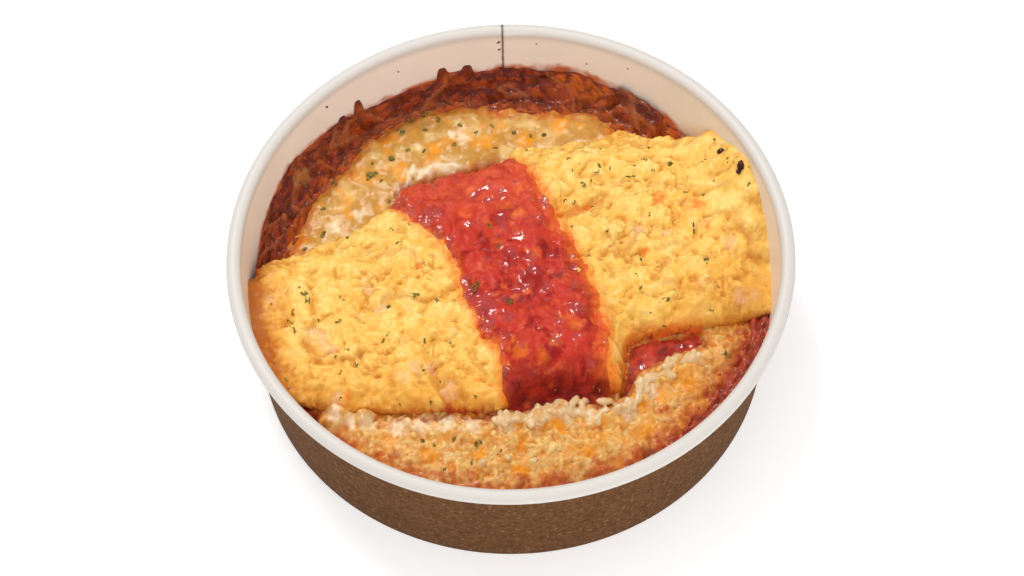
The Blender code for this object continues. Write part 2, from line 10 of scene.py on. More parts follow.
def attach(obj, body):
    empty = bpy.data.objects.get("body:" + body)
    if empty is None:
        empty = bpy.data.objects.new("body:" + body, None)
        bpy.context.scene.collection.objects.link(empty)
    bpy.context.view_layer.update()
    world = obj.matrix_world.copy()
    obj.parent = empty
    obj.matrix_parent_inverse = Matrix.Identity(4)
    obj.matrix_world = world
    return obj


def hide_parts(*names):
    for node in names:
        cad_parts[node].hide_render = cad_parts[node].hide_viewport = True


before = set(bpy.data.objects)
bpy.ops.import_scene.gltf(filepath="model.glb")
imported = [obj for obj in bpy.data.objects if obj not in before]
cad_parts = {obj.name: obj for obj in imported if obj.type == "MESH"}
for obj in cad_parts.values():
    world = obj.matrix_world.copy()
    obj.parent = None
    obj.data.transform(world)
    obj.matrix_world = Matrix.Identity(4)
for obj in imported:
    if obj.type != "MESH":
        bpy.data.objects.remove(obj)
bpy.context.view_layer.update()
print("frame loaded:", ", ".join(sorted(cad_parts)))

# Lengths below are millimetres unless a line says otherwise, colours are 0 to 255.
# Outlines and places are seen from above, true at planLevel, and widen with the bowl's cone.
mm = 0.001
draw = random.Random(7)

bowl = {
    "rimDiameter": 150.0,
    "height": 41.6,
    "roll": 3.9,
    "paper": 0.5,
    "lean": 3.4 / 38.0,
    "leanTop": 38.0,
    "rollEnd": -118.0,
    "hemHeight": 5.0,
    "hemSlot": 1.1,
    "chamfer": 0.3,
    "steps": 600,
    "seamAzimuth": 91.0,
    "seamStep": 0.3,
}
planLevel = 20.0
foodFloor = 6.4

omeletteBackPlaces = [
    (50.7, 47.1), (46.0, 49.0), (38.8, 49.6), (31.1, 51.6), (25.1, 50.0), (14.0, 47.5), (3.7, 47.2),
    (-3.0, 42.0), (-14.0, 37.0), (-28.0, 33.5), (-32.8, 28.0), (-43.1, 20.0), (-56.4, 13.5),
    (-65.5, 9.0), (-69.0, 4.0),
]
omeletteFrontPlaces = [
    (-61.1, -32.5), (-53.0, -34.5), (-44.0, -36.5), (-29.7, -36.8), (-16.6, -36.4), (-3.0, -36.9),
    (1.5, -32.5), (7.0, -30.0), (15.0, -28.6), (22.0, -29.3), (25.8, -32.0), (28.8, -30.6),
    (30.2, -23.0), (31.5, -16.5), (38.0, -14.2), (50.1, -12.4), (61.0, -9.8), (68.8, -7.2),
]
sauceFrontPlaces = [
    (-32.4, 27.0), (-24.2, 18.0), (-18.8, 12.6), (-14.9, 4.5), (-12.8, -5.0), (-9.2, -11.0),
    (-7.8, -17.0), (-4.5, -22.0), (-2.8, -28.0), (-2.6, -33.6), (0.8, -36.9), (6.0, -36.0),
    (12.4, -34.6), (20.3, -35.2), (26.0, -34.8), (31.0, -31.4), (33.0, -26.6), (36.0, -23.8),
    (41.0, -21.0), (46.0, -19.2), (50.5, -17.6), (51.8, -14.4),
]
sauceBackPlaces = [
    (24.6, -27.0), (25.2, -17.0), (23.4, -10.4), (21.0, -1.0), (17.3, 8.7), (12.1, 20.0),
    (7.0, 32.0), (2.0, 40.0), (-2.0, 42.9), (-12.0, 39.6), (-22.0, 37.0), (-30.0, 34.4),
]
ridgePlaces = [
    (-3.0, -39.6), (6.0, -38.6), (13.0, -37.2), (21.0, -37.8), (29.0, -36.0), (35.4, -29.0),
    (41.0, -24.6), (50.0, -21.0),
]
poolShore = (25.4, 50.4)  # the pool lies along the omelette's front edge between these x

# azimuth in degrees from +X, and millimetres
cheeseReach = [  # how far out the cheese goes
    (-170, 63.0), (-150, 62.0), (-130, 63.5), (-110, 61.0), (-90, 59.5), (-70, 60.0), (-55, 61.0),
    (-40, 61.0), (-27, 61.5), (-17, 64.0), (0, 64.0), (25, 64.0), (45, 64.5), (61, 62.0), (68, 64.8),
    (78, 61.0), (92, 61.7), (104, 64.6), (117, 65.4), (126, 65.2), (137, 62.6), (146, 62.5), (166, 62.2),
]
ringHeight = [  # how high the meat sauce stands at the wall
    (-150, 18.6), (-90, 18.4), (-40, 18.8), (-8, 19.0), (0, 17.0), (38, 17.0), (46, 21.5), (54, 23.6),
    (60, 25.2), (67, 25.3), (74, 27.3), (82, 26.2), (90, 27.2), (97, 25.5), (110, 25.0), (122, 24.7),
    (131, 26.4), (140, 27.0), (148, 28.2), (156, 25.6), (163, 23.8), (170, 19.5), (178, 17.0),
    (200, 17.0),
]
omeletteOnWall = [  # how high the omelette stands at the wall
    (-152, 21.5), (-160, 23.0), (-172, 25.5), (-6, 20.4), (0, 20.6), (4.5, 21.4), (9.3, 25.9),
    (14.5, 30.3), (20.3, 35.0), (25.5, 38.4), (30, 36.6), (34, 34.0), (38, 33.4), (42, 29.5),
    (46, 24.0), (100, 24.0), (170, 27.5), (178, 28.0),
]


def smooth(share):
    share = np.clip(share, 0.0, 1.0)
    return share * share * (3.0 - 2.0 * share)


def mix(first, second, share):
    return first + (second - first) * share


def smoothMax(first, second, soft):
    # the higher of two surfaces with a fillet between them
    h = np.clip(0.5 + 0.5 * (first - second) / soft, 0.0, 1.0)
    return mix(second, first, h) + soft * h * (1.0 - h)


def roundTheBowl(stations, azimuth):
    ordered = sorted((angle % 360.0, value) for angle, value in stations)
    first, last = ordered[0], ordered[-1]
    ordered = [(last[0] - 360.0, last[1])] + ordered + [(first[0] + 360.0, first[1])]
    angles = np.array([angle for angle, _ in ordered])
    values = np.array([value for _, value in ordered])
    azimuth = np.mod(azimuth, 360.0)
    after = np.clip(np.searchsorted(angles, azimuth, side="left"), 1, len(angles) - 1)
    share = (azimuth - angles[after - 1]) / (angles[after] - angles[after - 1])
    return mix(values[after - 1], values[after], smooth(share))


def innerRadius(height):
    return bowl["rimDiameter"] / 2 - bowl["roll"] - bowl["lean"] * np.maximum(bowl["leanTop"] - height, 0.0)


def foodRadius(height):
    return innerRadius(height) + 0.12  # just into the paper, so no gap shows


planRadius = float(foodRadius(planLevel))


def polar(radius, azimuth):
    angle = math.radians(azimuth)
    return radius * math.cos(angle), radius * math.sin(angle)


def rounded(places, pitch=1.5):
    last = len(places) - 1
    curve = []
    for i in range(last):
        before, start, end, after = (Vector(places[min(max(i + k, 0), last)]) for k in (-1, 0, 1, 2))
        steps = max(1, round((end - start).length / pitch))
        for step in range(steps):
            t = step / steps
            point = 0.5 * (
                2 * start + (end - before) * t
                + (2 * before - 5 * start + 4 * end - after) * t ** 2
                + (3 * start - before - 3 * end + after) * t ** 3
            )
            curve.append((point.x, point.y))
    curve.append(tuple(places[last]))
    return curve


def distanceTo(x, y, line):
    least = np.full(x.shape, 1000.0)
    for (x0, y0), (x1, y1) in zip(line, line[1:]):
        dx, dy = x1 - x0, y1 - y0
        share = np.clip(((x - x0) * dx + (y - y0) * dy) / max(dx * dx + dy * dy, 1e-9), 0.0, 1.0)
        least = np.minimum(least, np.hypot(x - x0 - share * dx, y - y0 - share * dy))
    return least


def insideOf(x, y, outline):
    hit = np.zeros(x.shape, bool)
    for (x0, y0), (x1, y1) in zip(outline, outline[1:] + outline[:1]):
        if y0 == y1:
            continue
        crosses = (y0 > y) != (y1 > y)
        hit ^= crosses & (x < (x1 - x0) * (y - y0) / (y1 - y0) + x0)
    return hit


def lumps(x, y, size, layer, octaves=2):
    # uneven relief, mostly between -1 and 1
    scaled = zip((x / size).tolist(), (y / size).tolist())
    return np.array([noise.fractal(Vector((a, b, layer)), 0.7, 2.0, octaves) for a, b in scaled])


def shifted(x, y, shift, size, layer, octaves=2):
    # places moved about a little, so that what is worked there gets a natural outline
    return (
        x + shift * lumps(x, y, size, layer, octaves),
        y + shift * lumps(x, y, size, layer + 1.0, octaves),
    )


def curds(x, y, size, layer, octaves=4):
    # puffy mounds with narrow valleys between them, about 0 to 1
    scaled = zip((x / size).tolist(), (y / size).tolist())
    return np.array([
        noise.turbulence(Vector((a, b, layer)), octaves, True, amplitude_scale=0.6, frequency_scale=2.1)
        for a, b in scaled
    ])


def cells(x, y, size, layer):
    # distance to the nearest cell's middle, and to the border with the next cell, in cells
    scaled = zip((x / size).tolist(), (y / size).tolist())
    found = np.array([noise.voronoi(Vector((a, b, layer)))[0][:2] for a, b in scaled])
    return found[:, 0], found[:, 1] - found[:, 0]


def spots(x, y, places, radius, soft=0.6):
    # 1 inside each round place, falling to 0 over the soft share of the radius
    mask = np.zeros(x.shape)
    for place in places:
        reach = place[2] if len(place) > 2 else radius
        gap = np.hypot(x - place[0], y - place[1]) / reach
        mask = np.maximum(mask, smooth((1.0 - gap) / soft))
    return mask


def along(x, y, places, width):
    # 1 on a line through the places, fading over its width
    return np.exp(-(distanceTo(x, y, rounded(places, 1.0)) / width) ** 2)


omeletteCorners = (
    omeletteFrontPlaces[-1], omeletteBackPlaces[0], omeletteBackPlaces[-1], omeletteFrontPlaces[0],
)
wallEnds = [math.degrees(math.atan2(y, x)) for x, y in omeletteCorners]
omeletteBack = rounded(omeletteBackPlaces)
omeletteFront = rounded(omeletteFrontPlaces)
sauceFront = rounded(sauceFrontPlaces)
sauceBack = rounded(sauceBackPlaces)
ridgeLine = rounded(ridgePlaces)
beyondWall = planRadius + 4.0
for line, ends in ((omeletteBack, wallEnds[1:3]), (omeletteFront, (wallEnds[3], wallEnds[0]))):
    line.insert(0, polar(beyondWall, ends[0]))
    line.append(polar(beyondWall, ends[1]))
rightWall = [polar(beyondWall, angle) for angle in np.arange(wallEnds[0] + 2, wallEnds[1] - 1, 3.0)]
leftWall = [polar(beyondWall, angle) for angle in np.arange(wallEnds[2] + 2, wallEnds[3] + 359, 3.0)]
omeletteOutline = rightWall + omeletteBack + leftWall + omeletteFront
shore = [place for place in omeletteFront if poolShore[0] < place[0] < poolShore[1] and place[1] < 0]
sauceOutline = sauceFront + shore[::-1] + sauceBack
sauceRim = sauceOutline + sauceOutline[:1]


# how high each food stands, and the sheet of points that it is worked from
meat = {
    "footFront": 18.0,
    "footBack": 20.0,
    "bed": 14.5,
    "bedRun": 8.0,
    "lumps": 0.9,
}
gratin = {
    "low": (-69.0, -69.0),
    "high": (69.0, 69.0),
    "pitch": 0.43,
    "underside": 13.5,
    "back": 20.9,
    "front": 19.6,
    "hidden": 17.0,
    "lumps": 0.6,
    "valley": 15.6,
    "ridgeRise": 2.2,
    "ridgeWidth": 3.0,
    "grainLength": 6.0,
    "grainWidth": 2.5,
    "grainsFront": 560,
    "grainsBack": 130,
    "curdSize": 6.0,
    "curdRise": 1.1,
    "crumbSize": 1.9,
    "crumbRise": 0.7,
}
omelette = {
    "low": (-70.0, -41.0),
    "high": (70.0, 56.0),
    "pitch": 0.38,
    "underside": 17.2,
    "crestLeft": 27.2,
    "crestRight": 28.8,
    "edgeBack": 22.2,
    "edgeFront": 21.8,
    "roundBack": 17.0,
    "roundFront": 9.0,
    "wallRun": 13.0,
    "lumps": 1.2,
    "lip": 1.7,
    "lipBack": 4.5,
    "raggedBack": 1.2,
    "raggedFront": 1.1,
    "curdSize": 7.5,
    "curdRise": 2.3,
    "smallCurdSize": 2.6,
    "smallCurdRise": 0.85,
    "crackDepth": 0.55,
    "tearDepth": 0.5,
    "creases": [  # places, depth, width
        ([(12.0, 19.0), (16.0, 21.2), (20.1, 22.3), (24.4, 24.4)], 1.3, 1.2),
        ([(25.1, 12.8), (27.6, 9.0), (31.1, 8.6), (33.5, 12.0), (33.0, 15.0)], 0.8, 0.9),
        (
            [(47.5, 11.5), (50.4, 15.3), (54.5, 19.2), (58.3, 18.0), (60.9, 14.0), (63.1, 8.0),
             (62.5, 1.0)],
            0.6, 0.7,
        ),
        ([(38.0, 8.0), (42.5, 9.6), (47.0, 9.0)], 0.5, 0.8),
        ([(-16.0, -2.0), (-22.0, -5.5), (-28.0, -3.6), (-33.5, -7.0)], 0.7, 0.9),
        ([(-66.0, -2.0), (-61.5, -6.0), (-60.0, -12.0)], 0.8, 1.0),
        ([(-56.0, -10.0), (-52.5, -13.5), (-49.0, -16.0)], 0.6, 0.8),
        ([(-53.0, -18.0), (-50.0, -23.0), (-44.0, -23.5), (-38.0, -22.0)], 0.8, 1.0),
        ([(-20.5, -26.0), (-20.4, -30.5), (-18.0, -33.5), (-12.5, -34.6)], 1.1, 1.0),
        ([(-14.0, -14.0), (-17.0, -17.5), (-22.0, -19.5), (-22.5, -23.5)], 0.6, 0.8),
        ([(-9.5, -22.0), (-8.5, -27.0), (-6.0, -31.0)], 0.6, 0.9),
        ([(-40.0, 6.5), (-33.0, 9.5), (-27.0, 10.0), (-26.0, 4.0)], 0.5, 0.8),
        ([(-33.0, 13.0), (-36.0, 10.5), (-41.0, 9.6)], 0.4, 0.7),
        ([(24.0, -9.0), (27.0, -12.0), (26.5, -16.0), (28.0, -20.0)], 0.6, 0.9),
        ([(40.0, -2.5), (45.0, -3.4), (52.0, -2.0), (60.0, -3.0)], 0.5, 0.9),
        ([(28.0, 29.0), (34.0, 27.6), (40.0, 29.0), (48.0, 28.2)], 0.4, 0.8),
        ([(18.0, 45.0), (27.0, 43.5), (36.0, 44.6), (44.0, 43.0)], 0.4, 0.8),
    ],
    "hollow": (-16.6, -32.0, 4.2, 1.5),  # x, y, reach, depth
}
tomato = {
    "low": (-36.0, -41.0),
    "high": (56.0, 46.0),
    "pitch": 0.36,
    "underside": 16.8,
    "film": 0.35,
    "thickness": 2.4,
    "edgeRun": 6.0,
    "lumps": 0.8,
    "pool": 18.4,
    "chunkSize": 11.0,
    "chunkRise": 2.3,
    "streakRise": 0.40,
    "beadSize": 1.6,
    "beadRise": 0.66,
}


def meatHeight(x, y):
    radius, azimuth = np.hypot(x, y), np.degrees(np.arctan2(y, x))
    reach = roundTheBowl(cheeseReach, azimuth)
    foot = mix(meat["footFront"], meat["footBack"], smooth(0.5 + y / 20.0))
    wall = roundTheBowl(ringHeight, azimuth)
    bed = mix(foot, meat["bed"], smooth((reach - radius) / meat["bedRun"]))
    out = np.clip((radius - reach) / (planRadius - reach), 0.0, 1.0)
    uneven = meat["lumps"] * lumps(x, y, 6.0, 1.0) * (1.0 - out)
    ring = mix(np.minimum(foot, wall), wall, smooth(out)) + uneven
    return np.where(radius < reach, bed, ring)


def cheeseHeight(x, y):
    back = y > 0.0
    level = mix(gratin["front"], gratin["back"], smooth(0.5 + y / 6.0))
    level = level + gratin["lumps"] * lumps(x, y, 7.0, 2.0)
    level = level + gratin["ridgeRise"] * np.exp(-(distanceTo(x, y, ridgeLine) / gratin["ridgeWidth"]) ** 2)
    edge = np.where(back, distanceTo(x, y, omeletteBack), distanceTo(x, y, omeletteFront))
    under = insideOf(x, y, omeletteOutline)
    pool = insideOf(x, y, sauceOutline) & ~under
    level = np.where(under, mix(level, gratin["hidden"], smooth(edge / 6.0)), level)
    dip = mix(level, gratin["valley"], smooth(distanceTo(x, y, sauceRim) / 2.0))
    return np.where(pool, dip, level)


def eggEdges(x, y):
    # ragged distances to the back and front edges, positive inside
    inner = np.where(insideOf(x, y, omeletteOutline), 1.0, -1.0)
    ragged = 1.1 * lumps(x, y, 4.5, 24.0) + 0.5 * lumps(x, y, 1.7, 25.0)
    toBack = inner * distanceTo(x, y, omeletteBack) + omelette["raggedBack"] * ragged
    toFront = inner * distanceTo(x, y, omeletteFront) + omelette["raggedFront"] * ragged
    return toBack, toFront


def eggHeight(x, y, detail=True):
    crest = mix(omelette["crestLeft"], omelette["crestRight"], smooth(0.5 + x / 80.0))
    gapBack, gapFront = eggEdges(x, y)
    edge = np.minimum(gapBack, gapFront)
    inner = edge > 0.0
    gapBack, gapFront = np.maximum(gapBack, 0.0), np.maximum(gapFront, 0.0)
    toBack = np.minimum(gapBack / omelette["roundBack"], 1.0)
    toFront = np.minimum(gapFront / omelette["roundFront"], 1.0)
    height = crest - (crest - omelette["edgeBack"]) * (1.0 - toBack) ** 2
    height = height - (crest - omelette["edgeFront"]) * (1.0 - toFront) ** 2
    free = np.minimum(toBack, toFront)
    height = height + omelette["lumps"] * lumps(x, y, 13.0, 3.0) * mix(0.5, 1.0, free)
    if detail:
        height = height + eggRelief(x, y) * mix(0.55, 1.0, free)
    azimuth = np.degrees(np.arctan2(y, x))
    fromWall = planRadius - np.hypot(x, y)
    nearWall = smooth(1.0 - fromWall / omelette["wallRun"])
    height = mix(height, roundTheBowl(omeletteOnWall, azimuth), nearWall * (0.9 if detail else 1.0))
    # the lip where the egg's edge rolls under
    under = cheeseHeight(x, y) - 0.4
    rolled = np.minimum(gapBack / omelette["lipBack"], gapFront / omelette["lip"])
    lip = np.sqrt(np.clip(1.0 - (1.0 - np.clip(rolled, 0.0, 1.0)) ** 2, 0.0, 1.0))
    return np.where(inner, under + (np.maximum(height, under + 0.4) - under) * lip, under + 0.6 * edge)


def cracks(mounds):
    # the deepest valleys between the curds
    return smooth((0.20 - mounds) / 0.14)


def tears(x, y):
    # thin torn lines between pieces of curd, up to 1 on the line, broken off here and there
    wx, wy = shifted(x, y, 1.6, 3.4, 26.0, 3)
    _, border = cells(wx, wy * 1.25, 7.5, 12.0)
    return smooth((0.09 - border) / 0.08) * smooth(0.25 + 1.6 * lumps(x, y, 8.0, 13.0))


def eggMounds(x, y):
    # the large curds, with the moved places that they were worked at
    wx, wy = shifted(x, y, 1.8, 7.0, 20.0)
    return wx, wy, curds(wx, wy * 1.2, omelette["curdSize"], 5.0, 3)


def eggRelief(x, y):
    # soft scrambled curds in several sizes, with a few deeper folds
    wx, wy, mounds = eggMounds(x, y)
    relief = omelette["curdRise"] * (mounds - 0.42) - omelette["crackDepth"] * cracks(mounds)
    small = curds(x, y * 1.15, omelette["smallCurdSize"], 6.0, 3) - 0.4
    relief = relief + omelette["smallCurdRise"] * small + 0.16 * lumps(x * 0.4, y, 1.6, 23.0)
    relief = relief - omelette["tearDepth"] * tears(x, y)
    for places, depth, width in omelette["creases"]:
        relief = relief - depth * along(wx, wy, places, width)
    cx, cy, size, depth = omelette["hollow"]
    return relief - depth * spots(wx, wy, [(cx, cy)], size, 0.7)


def sauceEdge(x, y):
    # ragged distance to the sauce's edge, positive inside
    inner = np.where(insideOf(x, y, sauceOutline), 1.0, -1.0)
    onTop = smooth((y + 30.0) / 8.0)
    ragged = 1.7 * lumps(x, y, 6.0, 34.0) + 0.3 * lumps(x, y, 2.2, 35.0)
    return inner * distanceTo(x, y, sauceRim) + onTop * ragged


def sauceHeight(x, y):
    egg = eggHeight(x, y)
    signed = sauceEdge(x, y)
    inner = signed > 0.0
    gap = np.maximum(signed, 0.0)
    edge = smooth(gap / tomato["edgeRun"])
    film = tomato["film"] * np.clip(gap / 0.8, 0.0, 1.0)
    body = edge * (tomato["thickness"] + tomato["lumps"] * lumps(x, y, 8.0, 4.0))
    wx, wy = shifted(x, y, 1.6, 5.0, 30.0)
    chunks = tomato["chunkRise"] * (curds(wx, wy, tomato["chunkSize"], 7.0, 2) - 0.4)
    chunks = chunks + 0.75 * lumps(x, y, 4.5, 32.0)
    run, side = 0.34 * wx - 0.94 * wy, 0.94 * wx + 0.34 * wy  # the streaks run down the band
    chunks = chunks + tomato["streakRise"] * lumps(side, 0.22 * run, 2.0, 39.0)
    wet = wetness(x, y)
    middle, _ = cells(wx, wy, tomato["beadSize"], 8.0)
    chunks = chunks + wet * (tomato["beadRise"] * (0.3 - middle ** 2) + 0.12 * lumps(x, y, 1.0, 36.0))
    smoothEgg = mix(egg, eggHeight(x, y, False), 0.95 * edge)
    onEgg = smoothEgg + film + body + chunks * smooth(gap / 2.5)
    pool = tomato["pool"] + 0.4 * chunks + 0.35 * lumps(x, y, 4.0, 33.0)
    height = smoothMax(onEgg, pool, 3.0)
    inEgg = insideOf(x, y, omeletteOutline)
    height = np.where(inEgg, height, np.where(egg > pool, np.maximum(height, pool), height))
    return np.where(inner, height, np.where(inEgg, egg + 0.5 * signed - 0.1, pool))


wetPlaces = [  # x, y, reach
    (-29.5, 26.7, 2.8), (-22.8, 19.0, 3.2), (-19.7, 13.9, 2.0), (-16.8, 7.1, 2.8), (-15.3, -3.9, 2.4),
    (-7.1, -9.0, 3.2), (-6.2, -14.0, 2.6), (5.1, 4.6, 1.6), (5.8, 0.5, 1.8), (17.1, -11.1, 2.4),
    (11.1, -20.8, 1.8), (-27.0, 22.0, 2.2), (-10.8, -5.6, 2.6), (9.5, -3.6, 1.4), (-1.0, -13.0, 2.0),
    (0.6, 6.0, 1.4), (2.4, 11.0, 1.4), (-2.0, -28.0, 1.4), (3.0, -5.0, 1.2), (-12.6, -1.0, 1.8),
    (20.0, -6.0, 1.3), (8.4, 17.2, 1.2), (-6.0, 23.0, 1.2),
]


def wetness(x, y):
    # where the sauce stands wet in small beads: round the chosen places and in patches between them
    wx, wy = shifted(x, y, 0.9, 2.0, 37.0)
    between = 0.9 * smooth((lumps(x, y, 3.6, 44.0) - 0.34) / 0.25)
    wide = [(px, py, 1.25 * reach) for px, py, reach in wetPlaces]
    return np.maximum(spots(wx, wy, wide, 2.0, 0.6), between)


def deselectAll():
    if bpy.context.mode != "OBJECT":
        bpy.ops.object.mode_set(mode="OBJECT")
    bpy.ops.object.select_all(action="DESELECT")


def selectOnly(mesh, chosen):
    # marks the chosen corners, and the edges and faces between them, for edit mode
    pairs = np.empty(len(mesh.edges) * 2, np.int32)
    mesh.edges.foreach_get("vertices", pairs)
    pairs = pairs.reshape(-1, 2)
    corners = np.empty(len(mesh.loops), np.int32)
    mesh.loops.foreach_get("vertex_index", corners)
    starts = np.empty(len(mesh.polygons), np.int32)
    mesh.polygons.foreach_get("loop_start", starts)
    whole = np.logical_and.reduceat(chosen[corners], starts) if len(starts) else np.zeros(0, bool)
    mesh.vertices.foreach_set("select", chosen)
    mesh.edges.foreach_set("select", chosen[pairs[:, 0]] & chosen[pairs[:, 1]])
    mesh.polygons.foreach_set("select", whole)


def placesOf(mesh):
    co = np.empty(len(mesh.vertices) * 3)
    mesh.vertices.foreach_get("co", co)
    return co.reshape(-1, 3)


def setPlaces(mesh, co):
    mesh.vertices.foreach_set("co", np.ascontiguousarray(co, float).ravel())
    mesh.update()


def inBowl(x, y, height):
    # plan places in millimetres to places in metres
    widen = foodRadius(height) / planRadius
    return np.stack([x * widen, y * widen, height], axis=-1) * mm


def planOf(co):
    height = co[:, 2] / mm
    widen = foodRadius(height) / planRadius
    return co[:, 0] / mm / widen, co[:, 1] / mm / widen


def paint(thing, name, values):
    mesh = thing.data
    layer = mesh.attributes.get(name) or mesh.attributes.new(name, "FLOAT", "POINT")
    layer.data.foreach_set("value", np.clip(values, 0.0, 1.0).astype(np.float32))


def newGrid(name, columns, rows):
    deselectAll()
    bpy.ops.mesh.primitive_grid_add(
        x_subdivisions=columns, y_subdivisions=rows, size=1.0, location=(0, 0, 0),
    )
    thing = bpy.context.object
    thing.name = thing.data.name = name
    return thing


def selectOpenEdges():
    bpy.ops.mesh.select_all(action="DESELECT")
    bpy.ops.mesh.select_non_manifold(
        extend=False, use_wire=False, use_boundary=True, use_multi_face=False, use_non_contiguous=False,
        use_verts=False,
    )


def faceOutwards():
    # turns every face out of its solid and leaves edit mode
    bpy.ops.mesh.select_all(action="SELECT")
    bpy.ops.mesh.normals_make_consistent(inside=False)
    bpy.ops.object.mode_set(mode="OBJECT")


def plainOutline(kept):
    # drops the grid's points where two faces would meet only at a corner
    while True:
        face = np.pad(kept[:-1, :-1] & kept[1:, :-1] & kept[:-1, 1:] & kept[1:, 1:], 1)
        nearLeft, nearRight, farLeft, farRight = face[:-1, :-1], face[:-1, 1:], face[1:, :-1], face[1:, 1:]
        kept = kept & (nearLeft | nearRight | farLeft | farRight)
        rising = nearLeft & farRight & ~nearRight & ~farLeft
        falling = nearRight & farLeft & ~nearLeft & ~farRight
        pinched = kept & (rising | falling)
        if not pinched.any():
            return kept
        kept = kept & ~pinched


def foodSheet(name, food, keep, heightAt):
    # a fine grid in plan, cut to where keep is above zero, lifted to its heights and closed below
    low, high, pitch, underside = food["low"], food["high"], food["pitch"], food["underside"]
    across, deep = high[0] - low[0], high[1] - low[1]
    columns, rows = round(across / pitch), round(deep / pitch)
    thing = newGrid(name, columns, rows)
    co = placesOf(thing.data)
    x = low[0] + (co[:, 0] + 0.5) * across
    y = low[1] + (co[:, 1] + 0.5) * deep
    radius = np.hypot(x, y)
    kept = (keep(x, y) > 0.0) & (radius < planRadius + 1.2 * pitch)
    kept = plainOutline(kept.reshape(rows + 1, columns + 1)).ravel()
    pull = np.where(radius > planRadius, planRadius / np.maximum(radius, 1e-6), 1.0)
    x, y = x * pull, y * pull
    height = np.full(x.shape, underside)
    height[kept] = heightAt(x[kept], y[kept])
    setPlaces(thing.data, inBowl(x, y, height))
    selectOnly(thing.data, ~kept)
    bpy.ops.object.mode_set(mode="EDIT")
    bpy.ops.mesh.select_mode(type="VERT")
    bpy.ops.mesh.delete(type="VERT")
    bpy.ops.mesh.select_all(action="SELECT")
    bpy.ops.mesh.delete_loose()
    bpy.ops.mesh.select_mode(type="EDGE")
    selectOpenEdges()
    bpy.ops.mesh.extrude_region_move(TRANSFORM_OT_translate={"value": (0.0, 0.0, 0.0)})
    bpy.ops.object.mode_set(mode="OBJECT")
    # the new edge goes down inside the bowl's cone and is closed flat
    mesh = thing.data
    foot = np.zeros(len(mesh.vertices), bool)
    mesh.vertices.foreach_get("select", foot)
    co = placesOf(mesh)
    x, y = planOf(co[foot])
    co[foot] = inBowl(0.985 * x, 0.985 * y, np.full(x.shape, underside))
    setPlaces(mesh, co)
    bpy.ops.object.mode_set(mode="EDIT")
    bpy.ops.mesh.fill_holes(sides=0)
    faceOutwards()
    mesh.shade_smooth()
    return thing


def surfaceOf(*things):
    # one surface to drop small pieces on, without the flat undersides, which have many corners
    places, faces = [], []
    for thing in things:
        first = len(places)
        places += [vertex.co.copy() for vertex in thing.data.vertices]
        upper = [face for face in thing.data.polygons if len(face.vertices) < 5]
        faces += [tuple(first + i for i in face.vertices) for face in upper]
    return BVHTree.FromPolygons(places, faces)


def dropOn(tree, x, y):
    # the surface's place and normal under a plan place, which moves out a little with the height found
    height = 24.0
    for _ in range(3):
        place = inBowl(np.array([x]), np.array([y]), np.array([height]))[0]
        spot, normal, _, _ = tree.ray_cast(Vector((place[0], place[1], 0.06)), Vector((0.0, 0.0, -1.0)))
        if spot is None:
            return None, None
        height = spot.z / mm
    return spot, normal


def linear(colour):
    made = []
    for part in colour:
        part = part / 255.0
        made.append(part / 12.92 if part <= 0.04045 else ((part + 0.055) / 1.055) ** 2.4)
    return (*made, 1.0)


def addNode(tree, kind, inputs=None, **settings):
    node = tree.nodes.new(kind)
    for key, value in settings.items():
        setattr(node, key, value)
    for key, value in (inputs or {}).items():
        if isinstance(value, bpy.types.NodeSocket):
            tree.links.new(value, node.inputs[key])
        else:
            node.inputs[key].default_value = value
    return node


def combine(tree, operation, first, second, clamp=False):
    node = addNode(tree, "ShaderNodeMath", {0: first, 1: second}, operation=operation, use_clamp=clamp)
    return node.outputs[0]


def newGroup(name, inputs, output):
    # a shader node group of plain values, with its inputs' defaults
    group = bpy.data.node_groups.new(name, "ShaderNodeTree")
    for label, value in inputs.items():
        socket = group.interface.new_socket(name=label, in_out="INPUT", socket_type="NodeSocketFloat")
        socket.default_value = value
    group.interface.new_socket(name=output, in_out="OUTPUT", socket_type="NodeSocketFloat")
    return group, group.nodes.new("NodeGroupInput"), group.nodes.new("NodeGroupOutput")


def mottleGroup():
    # soft irregular patches between 0 and 1
    inputs = {"Scale": 200.0, "Low": 0.4, "High": 0.6, "Detail": 3.0}
    group, inside, outside = newGroup("mottle", inputs, "Mask")
    place = addNode(group, "ShaderNodeTexCoord")
    pattern = addNode(group, "ShaderNodeTexNoise", {"Vector": place.outputs["Object"], "Roughness": 0.6})
    group.links.new(inside.outputs["Scale"], pattern.inputs["Scale"])
    group.links.new(inside.outputs["Detail"], pattern.inputs["Detail"])
    spread = addNode(group, "ShaderNodeMapRange", {"Value": pattern.outputs["Fac"]}, clamp=True)
    group.links.new(inside.outputs["Low"], spread.inputs["From Min"])
    group.links.new(inside.outputs["High"], spread.inputs["From Max"])
    group.links.new(spread.outputs["Result"], outside.inputs["Mask"])
    return group


